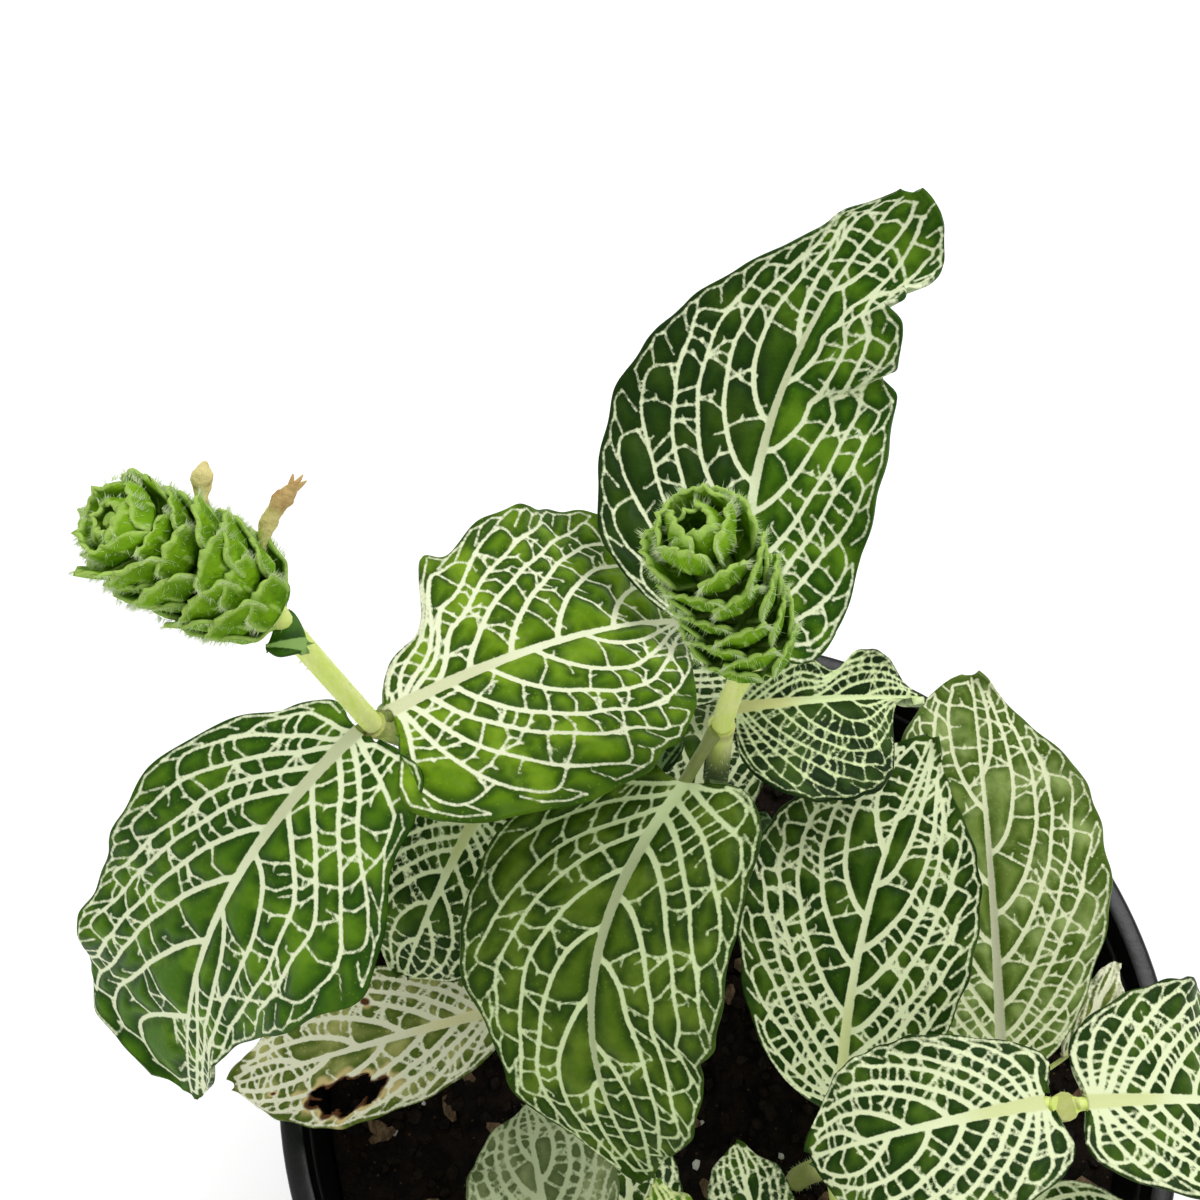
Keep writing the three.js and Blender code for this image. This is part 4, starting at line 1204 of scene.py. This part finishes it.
def soil_pieces(finishes):
    edge = wall_radius(SOIL_LEVEL) - POT["wall"] - SOIL_GAP
    low = POT["floor"] + SOIL_GAP
    profile = [*[(edge * k / 90, SOIL_LEVEL) for k in range(91)],
               *[(wall_radius(z) - POT["wall"] - SOIL_GAP, z)
                 for z in np.linspace(68, low + 4, 7)],
               (wall_radius(low) - POT["wall"] - 3.6, low), (0, low)]
    mesh = turned("potting_soil", profile, 260)
    points = places(mesh) / MM
    for point in points:
        if point[2] > SOIL_LEVEL - 0.5:
            x, y = point[:2]
            rough = noise.fractal(Vector((x, y, 3)) * 0.55, 0.7, 2.1, 5)
            ring = math.hypot(x, y) / edge
            point[2] = soil_height(x, y) + SOIL_ROUGH * rough * (1 - smoothstep(0.97, 1, ring))
    move_to(mesh, points * MM)
    make_piece("potting_soil", mesh, [finishes["soil"]], ["soil"])
    scatter("soil_crumbs", 1500, (0.35, 1.15), (1, 0.85, 0.7), finishes["crumb"], edge)
    scatter("bark_chips", 130, (1.1, 2.6), (1, 0.5, 0.26), finishes["bark"], edge)
    scatter("white_grains", 46, (0.35, 0.8), (1, 0.95, 0.85), finishes["grain"], edge)


def scatter(name, count, sizes, flatness, finish, edge):
    draw = random.Random(name)
    build = bmesh.new()
    bmesh.ops.create_icosphere(build, subdivisions=1, radius=MM)
    for vert in build.verts:
        vert.co *= draw.uniform(0.68, 1.2)
    shape = to_mesh("crumb", build)
    frames = []
    for _ in range(count):
        radius = (edge - 1.5) * math.sqrt(draw.random())
        angle = draw.uniform(0, 2 * math.pi)
        x, y = radius * math.cos(angle), radius * math.sin(angle)
        size = draw.uniform(*sizes)
        turn = Matrix.Rotation(draw.uniform(0, 6.3), 4, "Z") @ Matrix.Rotation(
            draw.uniform(-0.5, 0.5), 4, "X")
        middle = Vector((x, y, soil_height(x, y) + 0.1 + 0.25 * size)) * MM
        frames.append(Matrix.Translation(middle) @ turn @ Matrix.Diagonal(
            (*(size * f * draw.uniform(0.75, 1.25) for f in flatness), 1)))
    make_piece(name, stamped(name, shape, frames), [finish], smooth=False)


# ------------------------------------------------------------------ light and camera

CAMERA_PLACE = (-15.6, -38.9, 274.3)
CAMERA_TILT = 28


def set_stage():
    build = bmesh.new()
    bmesh.ops.create_grid(build, x_segments=1, y_segments=1, size=1.5)
    floor = bpy.data.objects.new("floor", to_mesh("floor", build))
    floor.data.materials.append(floor_finish())
    bpy.context.scene.collection.objects.link(floor)
    world = bpy.data.worlds.new("studio")
    world.use_nodes = True
    sky = world.node_tree.nodes["Background"]
    sky.inputs["Color"].default_value = (1, 1, 1, 1)
    sky.inputs["Strength"].default_value = 0.6
    bpy.context.scene.world = world
    for name, place, size, power in (("key", (0.24, 0.3, 0.85), 0.42, 2.8),
                                     ("fill", (-0.5, -0.3, 0.6), 0.6, 0.5)):
        light = bpy.data.lights.new(name, "AREA")
        light.size = size
        light.energy = power
        lamp = bpy.data.objects.new(name, light)
        lamp.location = place
        aim = Vector((0, 0, 0.11)) - Vector(place)
        lamp.rotation_euler = aim.to_track_quat("-Z", "Y").to_euler()
        bpy.context.scene.collection.objects.link(lamp)
    lens = bpy.data.cameras.new("camera")
    lens.lens = 45
    lens.sensor_width = 36
    lens.clip_start = 0.01
    camera = bpy.data.objects.new("camera", lens)
    camera.location = Vector(CAMERA_PLACE) * MM
    camera.rotation_euler = (math.radians(CAMERA_TILT), 0, 0)
    bpy.context.scene.collection.objects.link(camera)
    bpy.context.scene.camera = camera
    bpy.context.scene.view_settings.view_transform = "Standard"


def corners():
    return [list(corner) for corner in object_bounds()]


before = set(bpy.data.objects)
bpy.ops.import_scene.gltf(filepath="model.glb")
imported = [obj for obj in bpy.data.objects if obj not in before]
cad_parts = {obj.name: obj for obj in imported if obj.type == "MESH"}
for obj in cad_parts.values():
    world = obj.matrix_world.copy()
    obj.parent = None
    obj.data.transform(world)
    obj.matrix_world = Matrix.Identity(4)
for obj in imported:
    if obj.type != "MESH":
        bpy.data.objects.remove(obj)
cad_box = corners()
set_stage()
finishes = {
    "bract": bract_finish(), "stem": stem_finish(), "hair": hair_finish(),
    "soil": soil_finish(), "crumb": chip_finish("crumb_brown", (12, 8, 6), (44, 32, 24)),
    "bark": chip_finish("bark_tan", (64, 50, 36), (150, 124, 94)),
    "grain": chip_finish("grain_white", (206, 202, 192), (244, 242, 236)),
}
pot_piece(pot_finish())
soil_pieces(finishes)
for stem_name in STEMS:
    stem_piece(stem_name, finishes)
for spike_name, spike_values in SPIKES.items():
    spike_piece("spike_" + spike_name, spike_values, finishes)
for flower_name, flower_values in WITHERED_FLOWERS.items():
    withered_flower(flower_name, *flower_values, withered_finish())
grow_leaves(finishes)
